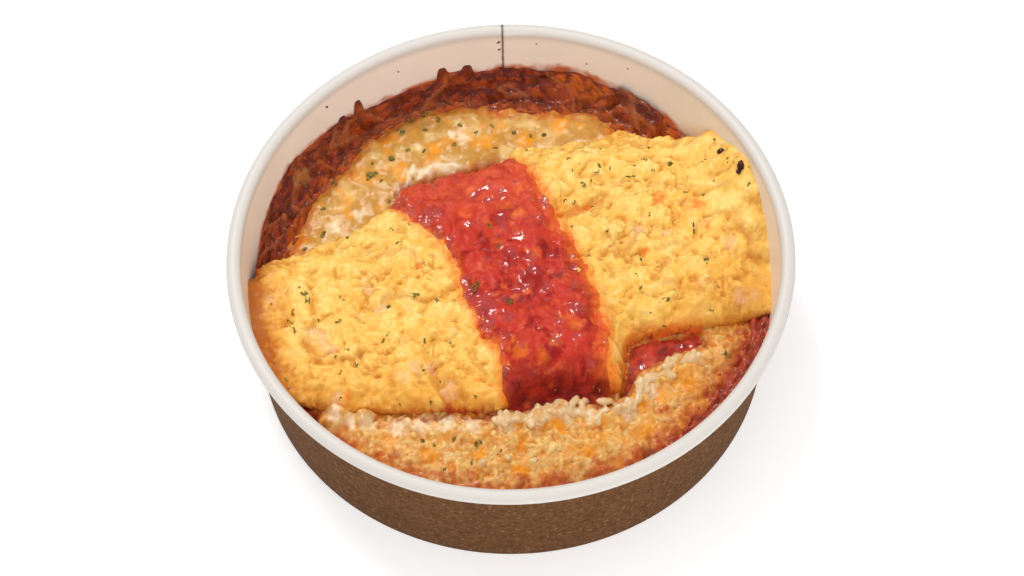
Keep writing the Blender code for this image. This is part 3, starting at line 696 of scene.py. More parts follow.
def zoneGroup():
    # a painted zone whose border is broken up by fine noise
    inputs = {"Zone": 0.0, "Scale": 500.0, "Break": 0.5, "Strength": 1.0}
    group, inside, outside = newGroup("brokenZone", inputs, "Mask")
    place = addNode(group, "ShaderNodeTexCoord")
    pattern = addNode(group, "ShaderNodeTexNoise", {"Vector": place.outputs["Object"], "Detail": 3.0})
    group.links.new(inside.outputs["Scale"], pattern.inputs["Scale"])
    zone = inside.outputs["Zone"]
    centred = combine(group, "SUBTRACT", pattern.outputs["Fac"], 0.5)
    broken = combine(group, "MULTIPLY", centred, inside.outputs["Break"])
    # nothing is added where the zone is empty
    present = combine(group, "MULTIPLY", zone, 6.0, True)
    held = combine(group, "MULTIPLY", broken, present)
    raised = combine(group, "MULTIPLY", held, 2.0)
    added = combine(group, "ADD", zone, raised, True)
    full = combine(group, "MULTIPLY", added, inside.outputs["Strength"], True)
    group.links.new(full, outside.inputs["Mask"])
    return group


def granuleGroup():
    # grains that each have their own tone, between 0 and 1
    inputs = {"Scale": 700.0, "Low": 0.6, "High": 0.9, "Amount": 1.0}
    group, inside, outside = newGroup("granules", inputs, "Mask")
    place = addNode(group, "ShaderNodeTexCoord")
    grains = addNode(group, "ShaderNodeTexVoronoi", {"Vector": place.outputs["Object"]}, feature="F1")
    group.links.new(inside.outputs["Scale"], grains.inputs["Scale"])
    tone = addNode(group, "ShaderNodeSeparateColor", {"Color": grains.outputs["Color"]})
    spread = addNode(group, "ShaderNodeMapRange", {"Value": tone.outputs["Red"]}, clamp=True)
    group.links.new(inside.outputs["Low"], spread.inputs["From Min"])
    group.links.new(inside.outputs["High"], spread.inputs["From Max"])
    # each grain fades at its rim
    grainEdge = addNode(
        group, "ShaderNodeMapRange",
        {"Value": grains.outputs["Distance"], "From Min": 0.62, "From Max": 0.35}, clamp=True,
    )
    mask = combine(group, "MULTIPLY", spread.outputs["Result"], grainEdge.outputs["Result"])
    amount = combine(group, "MULTIPLY", mask, inside.outputs["Amount"])
    group.links.new(amount, outside.inputs["Mask"])
    return group


def wetGroup():
    # small bubbles and beads of a wet surface, as a height
    group, inside, outside = newGroup("wetRelief", {"Scale": 900.0, "Beads": 0.5, "Soft": 1.0}, "Height")
    place = addNode(group, "ShaderNodeTexCoord")
    beads = addNode(group, "ShaderNodeTexVoronoi", {"Vector": place.outputs["Object"]}, feature="SMOOTH_F1")
    group.links.new(inside.outputs["Scale"], beads.inputs["Scale"])
    soft = addNode(group, "ShaderNodeTexNoise", {"Vector": place.outputs["Object"], "Detail": 2.0})
    group.links.new(inside.outputs["Scale"], soft.inputs["Scale"])
    beaded = combine(group, "MULTIPLY", beads.outputs["Distance"], inside.outputs["Beads"])
    softened = combine(group, "MULTIPLY", soft.outputs["Fac"], inside.outputs["Soft"])
    group.links.new(combine(group, "SUBTRACT", softened, beaded), outside.inputs["Height"])
    return group


groups = {"mottle": mottleGroup(), "zone": zoneGroup(), "granules": granuleGroup(), "wet": wetGroup()}


def useGroup(tree, name, inputs):
    return addNode(tree, "ShaderNodeGroup", inputs, node_tree=groups[name]).outputs[0]


def blendColour(tree, mask, first, second):
    node = addNode(tree, "ShaderNodeMix", data_type="RGBA", blend_type="MIX")
    tree.links.new(mask, node.inputs[0])
    for socket, value in ((node.inputs[6], first), (node.inputs[7], second)):
        if isinstance(value, bpy.types.NodeSocket):
            tree.links.new(value, socket)
        else:
            socket.default_value = linear(value)
    return node.outputs[2]


def attribute(tree, name):
    return addNode(tree, "ShaderNodeAttribute", attribute_name=name).outputs["Fac"]


def newMaterial(name):
    material = bpy.data.materials.new(name)
    material.use_nodes = True
    return material, material.node_tree, material.node_tree.nodes["Principled BSDF"]


def fineRelief(tree, shader, scale, beads, soft, strength, depth):
    height = useGroup(tree, "wet", {"Scale": scale, "Beads": beads, "Soft": soft})
    bump = addNode(tree, "ShaderNodeBump", {"Height": height, "Strength": strength, "Distance": depth * mm})
    tree.links.new(bump.outputs["Normal"], shader.inputs["Normal"])


def foodMaterial(name, look):
    # base colour with soft patches, then painted zones one over the other, gloss and fine relief
    material, tree, shader = newMaterial(name)
    colour = None
    for patch, scale, low, high in look["patches"]:
        mask = useGroup(tree, "mottle", {"Scale": scale, "Low": low, "High": high})
        colour = blendColour(tree, mask, look["base"] if colour is None else colour, patch)
    for tint, scale, low, high in look.get("granules", []):
        amount = attribute(tree, look["granuleZone"])
        mask = useGroup(tree, "granules", {"Scale": scale, "Low": low, "High": high, "Amount": amount})
        colour = blendColour(tree, mask, colour, tint)
    for zone, tint, scale, breakUp, strength in look["zones"]:
        facts = {"Zone": attribute(tree, zone), "Scale": scale, "Break": breakUp, "Strength": strength}
        colour = blendColour(tree, useGroup(tree, "zone", facts), colour, tint)
    tree.links.new(colour, shader.inputs["Base Color"])
    rough = addNode(
        tree, "ShaderNodeMapRange",
        {"Value": useGroup(tree, "mottle", {"Scale": look["roughScale"], "Low": 0.35, "High": 0.65}),
         "To Min": look["rough"][0], "To Max": look["rough"][1]},
    )
    tree.links.new(rough.outputs["Result"], shader.inputs["Roughness"])
    fineRelief(
        tree, shader, look["reliefScale"], look["beads"], look["soft"], look["relief"], look["reliefDepth"],
    )
    shader.inputs["Coat Weight"].default_value = look["coat"]
    if "wetCoat" in look:
        wet = useGroup(tree, "zone", {"Zone": attribute(tree, "wet"), "Scale": 600.0, "Break": 0.5})
        coat = addNode(
            tree, "ShaderNodeMapRange", {"Value": wet, "To Min": look["coat"], "To Max": look["wetCoat"]},
        )
        tree.links.new(coat.outputs["Result"], shader.inputs["Coat Weight"])
    shader.inputs["Coat Roughness"].default_value = look["coatRough"]
    shader.inputs["Coat IOR"].default_value = look.get("coatIor", 1.5)
    shader.inputs["Specular IOR Level"].default_value = look["specular"]
    shader.inputs["Subsurface Weight"].default_value = look["soak"]
    shader.inputs["Subsurface Radius"].default_value = look["soakColour"]
    shader.inputs["Subsurface Scale"].default_value = look["soakDepth"] * mm
    material.diffuse_color = linear(look["base"])
    return material


photoCamera = {  # distance and target in metres, lens and sensor in millimetres
    "elevation": 57.4975,  # degrees
    "distance": 0.950,
    "target": (0.0002531, -0.0105093, 0.0397142),
    "roll": -0.0161,  # radians
    "lens": 127.5135,
    "sensor": 36.0,
}
light = {  # place and size in metres, power in watts; only a glossy light shows as highlights
    "key": {
        "place": (-0.32, 0.46, 0.92),
        "size": 0.50,
        "power": 5.6,
        "colour": (1.0, 0.985, 0.96),
        "glossy": True,
    },
    "fill": {
        "place": (0.30, -0.75, 0.62),
        "size": 0.9,
        "power": 4.6,
        "colour": (1.0, 1.0, 1.0),
        "glossy": False,
    },
    "top": {
        "place": (0.0, 0.0, 1.5),
        "size": 2.2,
        "power": 7.0,
        "colour": (1.0, 1.0, 1.0),
        "glossy": False,
    },
    "world": 0.33,
}


def makeCamera():
    deselectAll()
    bpy.ops.object.camera_add()
    camera = bpy.context.object
    camera.name = "photoCamera"
    camera.data.lens = photoCamera["lens"]
    camera.data.sensor_width = photoCamera["sensor"]
    camera.data.clip_start = 0.01
    elevation = math.radians(photoCamera["elevation"])
    back = Vector((0.0, -math.cos(elevation), math.sin(elevation)))
    turn = back.to_track_quat("Z", "Y").to_matrix().to_4x4() @ Matrix.Rotation(photoCamera["roll"], 4, "Z")
    place = Vector(photoCamera["target"]) + back * photoCamera["distance"]
    camera.matrix_world = Matrix.Translation(place) @ turn
    bpy.context.scene.camera = camera


def makeLight():
    for name in ("key", "fill", "top"):
        facts = light[name]
        bpy.ops.object.light_add(type="AREA", location=facts["place"])
        lamp = bpy.context.object
        lamp.name = name + "Light"
        lamp.data.shape = "DISK"
        lamp.data.size = facts["size"]
        lamp.data.energy = facts["power"]
        lamp.data.color = facts["colour"]
        lamp.visible_glossy = facts["glossy"]
        lamp.rotation_euler = Vector(facts["place"]).to_track_quat("Z", "Y").to_euler()
    world = bpy.context.scene.world or bpy.data.worlds.new("studio")
    bpy.context.scene.world = world
    world.use_nodes = True
    world.node_tree.nodes["Background"].inputs["Color"].default_value = (1.0, 1.0, 1.0, 1.0)
    world.node_tree.nodes["Background"].inputs["Strength"].default_value = light["world"]
    bpy.context.scene.view_settings.view_transform = "Standard"


def makeFloor():
    deselectAll()
    bpy.ops.mesh.primitive_plane_add(size=4.0, location=(0.0, 0.0, 0.0))
    floor = bpy.context.object
    floor.name = "floor"
    material, _, shader = newMaterial("paleFloor")
    shader.inputs["Base Color"].default_value = (0.93, 0.93, 0.93, 1.0)
    shader.inputs["Roughness"].default_value = 0.9
    shader.inputs["Emission Color"].default_value = (1.0, 1.0, 1.0, 1.0)
    shader.inputs["Emission Strength"].default_value = 0.35
    floor.data.materials.append(material)


makeCamera()
makeLight()
makeFloor()
print("camera, light and floor ready")


paperLook = {
    # inside, the board is painted a warmer cream than on the lip: partly its tone, partly painted warm
    # light thrown back from the food
    "white": (249, 242, 233),
    "whiteShade": (244, 236, 226),
    "lip": (219, 213, 206),
    "stain": (196, 94, 34),
    "seam": (92, 66, 50),
    "kraft": (112, 74, 41),
    "kraftDark": (82, 50, 26),
    "kraftLight": (145, 105, 66),
}


def bowlProfile():
    # radius and height round the paper's section, with the inner face first
    roll = bowl["roll"] / 2
    centre = (bowl["rimDiameter"] / 2 - roll, bowl["height"] - roll)
    foot = float(innerRadius(0.0))
    outerFoot = foot + bowl["paper"]
    hemOuter = foot - bowl["hemSlot"]
    hemInner = hemOuter - bowl["paper"]
    profile = [(float(innerRadius(z)), z) for z in (0.5, 4.0, 8.0, 12.0, 15.0, 17.0)]
    profile += [(float(innerRadius(z)), z) for z in np.arange(18.0, 38.1, 0.5)]
    for i in range(1, 29):
        angle = math.radians(mix(180.0, bowl["rollEnd"], i / 28))
        profile.append((centre[0] + roll * math.cos(angle), centre[1] + roll * math.sin(angle)))
    split = len(profile)
    inner = roll - bowl["paper"]
    for i in range(15):
        angle = math.radians(mix(bowl["rollEnd"], 180.0, i / 14))
        profile.append((centre[0] + inner * math.cos(angle), centre[1] + inner * math.sin(angle)))
    profile += [(float(innerRadius(z)) + bowl["paper"], z) for z in (36.0, 30.0, 24.0, 18.0, 12.0, 6.0)]
    chamfer, hem = bowl["chamfer"], bowl["hemHeight"]
    profile += [(outerFoot, chamfer), (outerFoot - chamfer, 0.0), (hemInner + chamfer, 0.0)]
    profile += [(hemInner, chamfer), (hemInner, hem), (hemOuter, hem), (hemOuter, bowl["paper"])]
    return profile, split


driedStreaks = [  # azimuth and width in degrees, rise above the ring
    (78.0, 4.6, 3.2), (70.0, 6.0, 2.6), (51.0, 4.5, 2.2), (86.0, 3.0, 1.8), (110.0, 9.0, 1.2),
    (136.0, 8.0, 1.3),
]


def makeBowl():
    profile, split = bowlProfile()
    count, steps = len(profile), bowl["steps"]
    wall = newGrid("bowlWall", steps, count)
    co = placesOf(wall.data)
    order = np.rint((co[:, 1] + 0.5) * count).astype(int) % count
    radius = np.array([place[0] for place in profile])[order]
    height = np.array([place[1] for place in profile])[order]
    share = np.mod(np.rint((co[:, 0] + 0.5) * steps), steps) / steps
    # the columns stand closer together at the seam
    angle = 2 * math.pi * share - 0.85 * np.sin(2 * math.pi * share)
    azimuth = np.degrees(angle) + bowl["seamAzimuth"]
    # the paper laps over itself at the seam: a small step that fades away on one side
    past = np.where(angle > math.pi, angle - 2 * math.pi, angle)
    lap = np.where(past < -1e-6, smooth(1.0 + past / 0.16), 0.0)
    inner = order < split
    onInner = inner & (height < bowl["height"] - 0.4)
    onInner = onInner & (radius < bowl["rimDiameter"] / 2 - bowl["roll"] + 0.5)
    radius = radius - bowl["seamStep"] * lap * onInner
    # paper is never perfectly round
    wobble = 0.10 * np.sin(np.radians(azimuth) * 3 + 0.6) + 0.06 * np.sin(np.radians(azimuth) * 7 + 2.0)
    radius = radius + wobble * smooth(height / 30.0) * 0.6
    turned = np.radians(azimuth)
    setPlaces(wall.data, np.stack([radius * np.cos(turned), radius * np.sin(turned), height], axis=-1) * mm)
    azimuth = np.mod(azimuth, 360.0)
    line = roundTheBowl(ringHeight, azimuth)
    ragged = 0.8 * lumps(azimuth * 1.2, np.zeros(azimuth.shape), 3.0, 40.0)
    above = height - line - ragged
    sauced = (azimuth > 40.0) & (azimuth < 172.0)
    film = np.exp(-(np.maximum(above, 0.0) / 1.1) ** 2) * 0.75
    for middle, width, rise in driedStreaks:
        near = np.exp(-((azimuth - middle) / width) ** 2)
        film = np.maximum(film, near * smooth(1.3 - np.maximum(above, 0.0) / rise))
    paint(wall, "stain", np.where(inner & sauced & (above > -4.0), film, 0.0))
    # where the lip's grey takes over from the inside's warmer cream, which is partly painted light from the
    # food
    paint(wall, "lip", smooth((height - 38.2) / 1.2))
    gap = np.abs(past) * 70.0  # about millimetres along the wall
    paint(wall, "seam", np.where(inner, np.exp(-(gap / 0.32) ** 2) * smooth((height - 18.0) / 4.0), 0.0))
    # brown fibre board outside and under the lip, white board inside and over the lip
    corners = np.empty(len(wall.data.polygons) * 4, np.int32)
    wall.data.polygons.foreach_get("vertices", corners)
    brown = (~inner)[corners].reshape(-1, 4).sum(axis=1) > 2
    wall.data.materials.append(whitePaper())
    wall.data.materials.append(kraftPaper())
    wall.data.polygons.foreach_set("material_index", brown.astype(np.int32))
    deselectAll()
    wall.select_set(True)
    bpy.context.view_layer.objects.active = wall
    bpy.ops.object.mode_set(mode="EDIT")
    bpy.ops.mesh.select_all(action="SELECT")
    bpy.ops.mesh.remove_doubles(threshold=0.002 * mm)
    faceOutwards()
    wall.data.shade_smooth()
    wall.data.set_sharp_from_angle(angle=math.radians(50.0))
    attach(wall, "root")
    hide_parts("bowl_wall")
    return wall


def whitePaper():
    material, tree, shader = newMaterial("whiteBoard")
    mask = useGroup(tree, "mottle", {"Scale": 40.0, "Low": 0.35, "High": 0.65})
    colour = blendColour(tree, mask, paperLook["white"], paperLook["whiteShade"])
    # the lip is painted grey; the warmer cream inside is partly painted warm light thrown back from the
    # food
    colour = blendColour(tree, attribute(tree, "lip"), colour, paperLook["lip"])
    for zone, scale, breakUp in (("stain", 260.0, 0.8), ("seam", 700.0, 0.3)):
        facts = {"Zone": attribute(tree, zone), "Scale": scale, "Break": breakUp, "Strength": 0.95}
        colour = blendColour(tree, useGroup(tree, "zone", facts), colour, paperLook[zone])
    tree.links.new(colour, shader.inputs["Base Color"])
    shader.inputs["Roughness"].default_value = 0.42
    shader.inputs["Specular IOR Level"].default_value = 0.35
    fineRelief(tree, shader, 900.0, 0.1, 1.0, 0.12, 0.1)
    return material


def kraftPaper():
    material, tree, shader = newMaterial("kraftBoard")
    dark = useGroup(tree, "mottle", {"Scale": 620.0, "Low": 0.36, "High": 0.70, "Detail": 6.0})
    colour = blendColour(tree, dark, paperLook["kraft"], paperLook["kraftDark"])
    fibres = useGroup(tree, "mottle", {"Scale": 900.0, "Low": 0.56, "High": 0.72, "Detail": 4.0})
    colour = blendColour(tree, fibres, colour, paperLook["kraftLight"])
    tree.links.new(colour, shader.inputs["Base Color"])
    shader.inputs["Roughness"].default_value = 0.8
    shader.inputs["Specular IOR Level"].default_value = 0.1
    fineRelief(tree, shader, 1200.0, 0.2, 1.0, 0.25, 0.15)
    return material


bowlWall = makeBowl()
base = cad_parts["bowl_base"]
base.data.materials.clear()
base.data.materials.append(bpy.data.materials["kraftBoard"])
print("bowl ready")


meatLook = {
    "base": (148, 50, 20),
    "patches": [((96, 24, 10), 420.0, 0.42, 0.60), ((184, 84, 34), 640.0, 0.58, 0.72)],
    "zones": [
        ("orange", (206, 96, 30), 420.0, 0.6, 0.85),
        ("burnt", (70, 18, 8), 500.0, 0.6, 0.8),
        ("ruddy", (190, 78, 54), 500.0, 0.8, 0.85),
        ("fold", (178, 100, 56), 700.0, 0.7, 0.6),
        ("pale", (184, 120, 66), 420.0, 1.4, 0.6),
    ],
    "roughScale": 500.0,
    "rough": (0.28, 0.5),
    "reliefScale": 1100.0,
    "relief": 0.5,
    "reliefDepth": 0.35,
    "beads": 0.7,
    "soft": 0.8,
    "coat": 0.5,
    "coatRough": 0.07,
    "coatIor": 1.7,
    "specular": 0.12,
    "soak": 0.05,
    "soakColour": (1.0, 0.3, 0.1),
    "soakDepth": 1.0,
}
meatRing = {
    "steps": 1100,
    "strandRise": 2.5,
    "strandSize": (8.5, 3.0),  # along the ring and across it
    "crumbRise": 1.2,
    "crumbSize": (5.0, 1.6),
    "foldRise": 0.6,
    "lumpRise": 3.4,
    "lumps": [(36.2, 55.6, 6.0), (32.0, 58.6, 4.6), (39.6, 53.0, 4.4)],
    "oily": [(19.8, 65.5, 5.5), (26.0, 63.0, 5.0), (45.7, 51.3, 4.5), (14.4, 67.0, 4.0)],
    "dark": [(36.2, 56.6, 5.0), (32.0, 60.0, 3.6), (39.6, 54.4, 3.6)],
    "pale": [(-56.5, 35.6, 2.2), (-55.0, 36.8, 2.0), (-57.4, 33.8, 1.6)],
}
frothTips = [  # azimuth, top, half width
    (126.0, 30.6, 1.3), (104.9, 29.9, 1.5), (99.2, 29.2, 1.5), (130.6, 28.3, 1.2),
]


def aroundRing(x, y, size, across, layer):
    # points for noise that runs evenly along the ring and across it
    turn = np.arctan2(y, x)
    fromWall = planRadius - np.hypot(x, y)
    eastward = (planRadius / size * np.cos(turn) + layer).tolist()
    northward = (planRadius / size * np.sin(turn)).tolist()
    inward = (fromWall / across + layer).tolist()
    return [Vector(place) for place in zip(eastward, northward, inward)]


def ringCurds(x, y, size, across, layer, octaves=4):
    return np.array([
        noise.turbulence(place, octaves, True, amplitude_scale=0.6, frequency_scale=2.1)
        for place in aroundRing(x, y, size, across, layer)
    ])


def foldLines(x, y):
    # thin curling folds of dried sauce along the wall, 1 on their crests
    return np.exp(-(np.array([noise.noise(p) for p in aroundRing(x, y, 15.0, 3.4, 5.0)]) / 0.05) ** 2)


def ringHeightFine(x, y):
    azimuth = np.degrees(np.arctan2(y, x))
    radius = np.hypot(x, y)
    fromWall = planRadius - radius
    height = meatHeight(x, y)
    ring = smooth((radius - roundTheBowl(cheeseReach, azimuth) + 3.0) / 3.0)
    strands = ringCurds(x, y, *meatRing["strandSize"], 9.0, 5) - 0.45
    relief = meatRing["strandRise"] * strands + meatRing["foldRise"] * foldLines(x, y)
    relief = relief + meatRing["crumbRise"] * (ringCurds(x, y, *meatRing["crumbSize"], 31.0, 2) - 0.4)
    edge = 1.0 * (ringCurds(x, y, 5.0, 30.0, 15.0, 3) - 0.4) * np.exp(-fromWall / 2.5)
    height = height + ring * (relief * smooth(0.2 + fromWall / 2.0) + edge)
    for middle, top, half in frothTips:
        across = (azimuth - middle) * math.radians(1.0) * planRadius / half
        shape = np.sqrt(np.clip(1.0 - across ** 4 * 0.62, 0.0, 1.0)) * np.exp(-np.abs(across * 0.72) ** 6)
        shape = shape * np.sqrt(np.clip(1.0 - (fromWall / 1.5) ** 2, 0.0, 1.0))
        height = height + np.maximum(top - height, 0.0) * shape
    # the film that sags between the pair of tips
    band = smooth((azimuth - 98.8) / 0.8) * smooth((105.4 - azimuth) / 0.8)
    band = band * np.sqrt(np.clip(1.0 - (fromWall / 1.4) ** 2, 0.0, 1.0))
    sag = 27.3 + 1.4 * np.abs((azimuth - 102.0) / 3.2) ** 2
    height = height + np.maximum(sag - height, 0.0) * band
    lump = spots(x, y, meatRing["lumps"], 5.0, 0.9)
    return height + meatRing["lumpRise"] * lump * smooth(0.3 + fromWall / 2.0)


def makeMeat():
    # rows of points inwards from the wall, closer together near it
    rows = np.concatenate([np.arange(0.0, 3.0, 0.15), np.arange(3.0, 15.1, 0.38)])
    ring = newGrid("meatSauce", meatRing["steps"], len(rows) - 1)
    co = placesOf(ring.data)
    turn = (co[:, 0] + 0.5) * 2 * math.pi
    row = np.rint((0.5 - co[:, 1]) * (len(rows) - 1)).astype(int)
    radius = planRadius - rows[row]
    x, y = radius * np.cos(turn), radius * np.sin(turn)
    setPlaces(ring.data, inBowl(x, y, ringHeightFine(x, y)))
    # the inner edge closes to a flat bed, the outer edge goes down the wall to the floor of the bowl
    bpy.ops.object.mode_set(mode="EDIT")
    bpy.ops.mesh.select_mode(type="VERT")
    bpy.ops.mesh.select_all(action="SELECT")
    bpy.ops.mesh.remove_doubles(threshold=0.001 * mm)
    bpy.ops.mesh.select_all(action="DESELECT")
    bpy.ops.object.mode_set(mode="OBJECT")
    for outer in (False, True):
        co = placesOf(ring.data)
        edge = np.hypot(co[:, 0], co[:, 1]) / mm
        selectOnly(ring.data, np.zeros(len(co), bool))
        bpy.ops.object.mode_set(mode="EDIT")
        selectOpenEdges()
        bpy.ops.object.mode_set(mode="OBJECT")
        boundary = np.zeros(len(co), bool)
        ring.data.vertices.foreach_get("select", boundary)
        selectOnly(ring.data, boundary & ((edge > 62.0) if outer else (edge < 62.0)))
        bpy.ops.object.mode_set(mode="EDIT")
        if outer:
            bpy.ops.mesh.extrude_region_move(TRANSFORM_OT_translate={"value": (0.0, 0.0, 0.0)})
            bpy.ops.transform.resize(value=(0.965, 0.965, 0.0), center_override=(0.0, 0.0, foodFloor * mm))
        bpy.ops.mesh.edge_face_add()
        bpy.ops.object.mode_set(mode="OBJECT")
    bpy.ops.object.mode_set(mode="EDIT")
    faceOutwards()
    ring.data.shade_smooth()
    x, y = planOf(placesOf(ring.data))
    azimuth = np.degrees(np.arctan2(y, x))
    fromWall = planRadius - np.hypot(x, y)
    # oily at the top and beside the cheese, burnt in patches and on the tips; painted shade darkens its
    # small hollows and painted light brightens its small crests
    reach = roundTheBowl(cheeseReach, azimuth)
    toCheese = np.hypot(x, y) - reach
    patchy = 2.6 * (ringCurds(x, y, 12.0, 3.0, 21.0, 3) - 0.42)
    atTop = np.exp(-fromWall / 0.9)
    byCheese = smooth(0.9 - toCheese / 2.0) * 0.6
    orange = np.maximum(byCheese, atTop * smooth(0.5 + patchy)) + 0.2 * smooth(patchy * 2.0 - 0.6)
    orange = np.maximum(orange, spots(x, y, meatRing["oily"], 4.0, 0.8))
    fine = ringCurds(x, y, *meatRing["crumbSize"], 31.0, 2)
    # the orange also holds painted light on the small crests
    paint(ring, "orange", np.maximum(orange, 0.3 * smooth((fine - 0.5) / 0.2)))
    # the burnt also holds painted shade in the small hollows
    burnt = np.maximum(smooth(-patchy * 2.2 - 0.1) * 0.6, 0.75 * smooth((0.40 - fine) / 0.25))
    burnt = np.maximum(burnt, spots(x, y, meatRing["dark"], 4.0, 0.8))
    for middle, _, _ in frothTips:
        burnt = np.maximum(burnt, np.exp(-((azimuth - middle) / 1.3) ** 2) * smooth(1.5 - fromWall / 1.2))
    paint(ring, "burnt", burnt)
    paint(ring, "fold", foldLines(x, y) * smooth(fromWall / 1.5) * smooth((9.0 - fromWall) / 4.0) * (y > 0))
    turn = np.mod(azimuth + 180.0, 360.0) - 180.0
    paint(ring, "ruddy", smooth((turn + 62.0) / 16.0) * smooth((2.0 - turn) / 8.0) * (0.8 + 0.5 * patchy))
    paint(ring, "pale", spots(x, y, meatRing["pale"], 2.2, 0.9))
    ring.data.materials.append(foodMaterial("brownedMeatSauce", meatLook))
    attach(ring, "root")
    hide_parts("meat_sauce")
    return ring


meatSauce = makeMeat()
print("meat sauce ready,", len(meatSauce.data.polygons), "faces")


cheeseLook = {
    "base": (198, 145, 66),
    "patches": [((194, 136, 54), 130.0, 0.44, 0.64), ((228, 190, 122), 140.0, 0.50, 0.66)],
    "granuleZone": "crumb",
    "granules": [((250, 216, 130), 620.0, 0.62, 0.85), ((204, 106, 30), 760.0, 0.60, 0.9)],
    "zones": [
        ("dip", (204, 104, 26), 700.0, 0.6, 0.75),
        ("rice", (248, 214, 138), 600.0, 0.5, 0.68),
        ("orange", (244, 154, 10), 260.0, 0.9, 0.9),
        ("white", (247, 226, 190), 500.0, 0.7, 0.92),
        ("brown", (184, 74, 36), 420.0, 0.9, 0.9),
        ("red", (158, 48, 32), 420.0, 0.8, 0.9),
        ("green", (116, 102, 44), 500.0, 0.9, 0.55),
    ],
    "roughScale": 400.0,
    "rough": (0.26, 0.46),
    "reliefScale": 900.0,
    "relief": 0.16,
    "reliefDepth": 0.3,
    "beads": 0.5,
    "soft": 0.9,
    "coat": 0.3,
    "coatRough": 0.12,
    "specular": 0.2,
    "soak": 0.08,
    "soakColour": (1.0, 0.55, 0.2),
    "soakDepth": 1.2,
}


def scatterGrains(count, allowed, gap):
    # each grain: x, y, turn, length and width against the usual, shade and how far it stands out
    grains = []
    tries = 0
    while len(grains) < count and tries < 60 * count:
        tries += 1
        x, y = polar(planRadius * math.sqrt(draw.random()), draw.uniform(0.0, 360.0))
        if allowed(x, y) and all(math.hypot(x - g[0], y - g[1]) > gap for g in grains):
            grains.append((
                x, y, draw.uniform(0.0, math.pi), draw.uniform(0.75, 1.1), draw.uniform(0.8, 1.1),
                draw.random(), draw.uniform(0.25, 1.0),
            ))
    return grains


def overOutline(outline):
    # a quick test for single places, because the grains are placed one by one
    flat = [Vector(place) for place in outline]

    def test(x, y):
        hit = False
        for a, b in zip(flat, flat[1:] + flat[:1]):
            if (a.y > y) != (b.y > y) and x < (b.x - a.x) * (y - a.y) / (b.y - a.y) + a.x:
                hit = not hit
        return hit
    return test


onEgg = overOutline(omeletteOutline)
onSauce = overOutline(sauceOutline)
frontGrains = scatterGrains(
    gratin["grainsFront"], lambda x, y: y < -8 and not onEgg(x, y) and not onSauce(x, y), 1.55,
)
backGrains = scatterGrains(gratin["grainsBack"], lambda x, y: y > 8 and not onEgg(x, y), 2.4)


def grainRelief(x, y, height):
    # rice that shows through the cheese; returns the new height and how much of each place is grain
    rice = np.zeros(x.shape)
    rise = np.zeros(x.shape)
    for grains, lift in ((frontGrains, 0.8), (backGrains, 0.16)):
        for gx, gy, turn, long, wide, shade, tall in grains:
            near = (np.abs(x - gx) < 3.6) & (np.abs(y - gy) < 3.6)
            if not near.any():
                continue
            dx, dy = x[near] - gx, y[near] - gy
            u = (dx * math.cos(turn) + dy * math.sin(turn)) / (0.5 * gratin["grainLength"] * long)
            v = (dy * math.cos(turn) - dx * math.sin(turn)) / (0.5 * gratin["grainWidth"] * wide)
            dome = np.sqrt(np.clip(1.0 - np.abs(u) ** 2.4 - v ** 2, 0.0, 1.0))
            top = lift * tall * dome
            higher = top > rise[near]
            rise[near] = np.maximum(rise[near], top)
            tone = smooth(dome * 1.6) * (0.35 + 0.65 * shade) * min(lift, 1.0)
            rice[near] = np.where(higher, tone, rice[near])
    return height + rise, rice


cheeseStrands = [  # places, width, rise
    ([(-26.3, 41.0), (-27.4, 37.2), (-28.2, 32.3), (-28.6, 28.6), (-29.2, 25.7)], 1.0, 1.1),
    ([(-24.0, 38.6), (-21.5, 40.4), (-18.5, 41.4), (-14.5, 41.6)], 1.5, 1.0),
    ([(-30.6, 35.6), (-29.6, 32.6), (-29.9, 29.6)], 0.8, 0.8),
]
cheeseMounds = [  # x, y, reach, rise
    (-46.0, -36.0, 5.6, 4.6), (-38.6, -37.0, 4.6, 3.4), (-31.0, -40.5, 4.0, 0.8), (43.1, -20.8, 2.8, 2.0),
    (49.2, -20.6, 2.4, 1.2), (5.0, -38.6, 4.0, 1.0), (9.5, -38.2, 3.4, 1.1), (34.0, -30.0, 4.0, 0.7),
    (-20.0, 39.5, 4.0, 0.6), (-29.5, 33.0, 2.6, 0.7), (2.0, -46.0, 4.0, 0.5), (24.0, -46.0, 4.0, 0.6),
    (42.0, -34.0, 4.0, 0.6), (-24.0, -47.0, 4.0, 0.5),
]


def cheeseFine(x, y):
    azimuth = np.degrees(np.arctan2(y, x))
    radius = np.hypot(x, y)
    reach = roundTheBowl(cheeseReach, azimuth) + 1.6 * lumps(x, y, 3.5, 60.0)
    height = cheeseHeight(x, y) - 0.5
    wx, wy = shifted(x, y, 1.5, 5.0, 61.0)
    soft = gratin["curdRise"] * (curds(wx, wy, gratin["curdSize"], 10.0, 4) - 0.4)
    soft = soft + 0.25 * lumps(x, y, 1.6, 63.0)
    granular = gratin["crumbRise"] * (curds(x, y, gratin["crumbSize"], 11.0, 2) - 0.35)
    molten = 0.15 * soft + 0.4 * lumps(x, y, 6.0, 67.0)
    height = height + np.where(y > 0, molten, 1.6 * soft + 1.5 * granular)
    for strand, width, rise in cheeseStrands:
        height = height + rise * along(wx, wy, strand, width)
    for mx, my, size, rise in cheeseMounds:
        height = height + rise * spots(wx, wy, [(mx, my)], size, 1.0)
    height, _ = grainRelief(x, y, height)
    # thins out towards the ring and runs under it
    return height - 1.0 * smooth((radius - reach + 4.0) / 4.0) - 0.9 * np.maximum(radius - reach, 0.0)


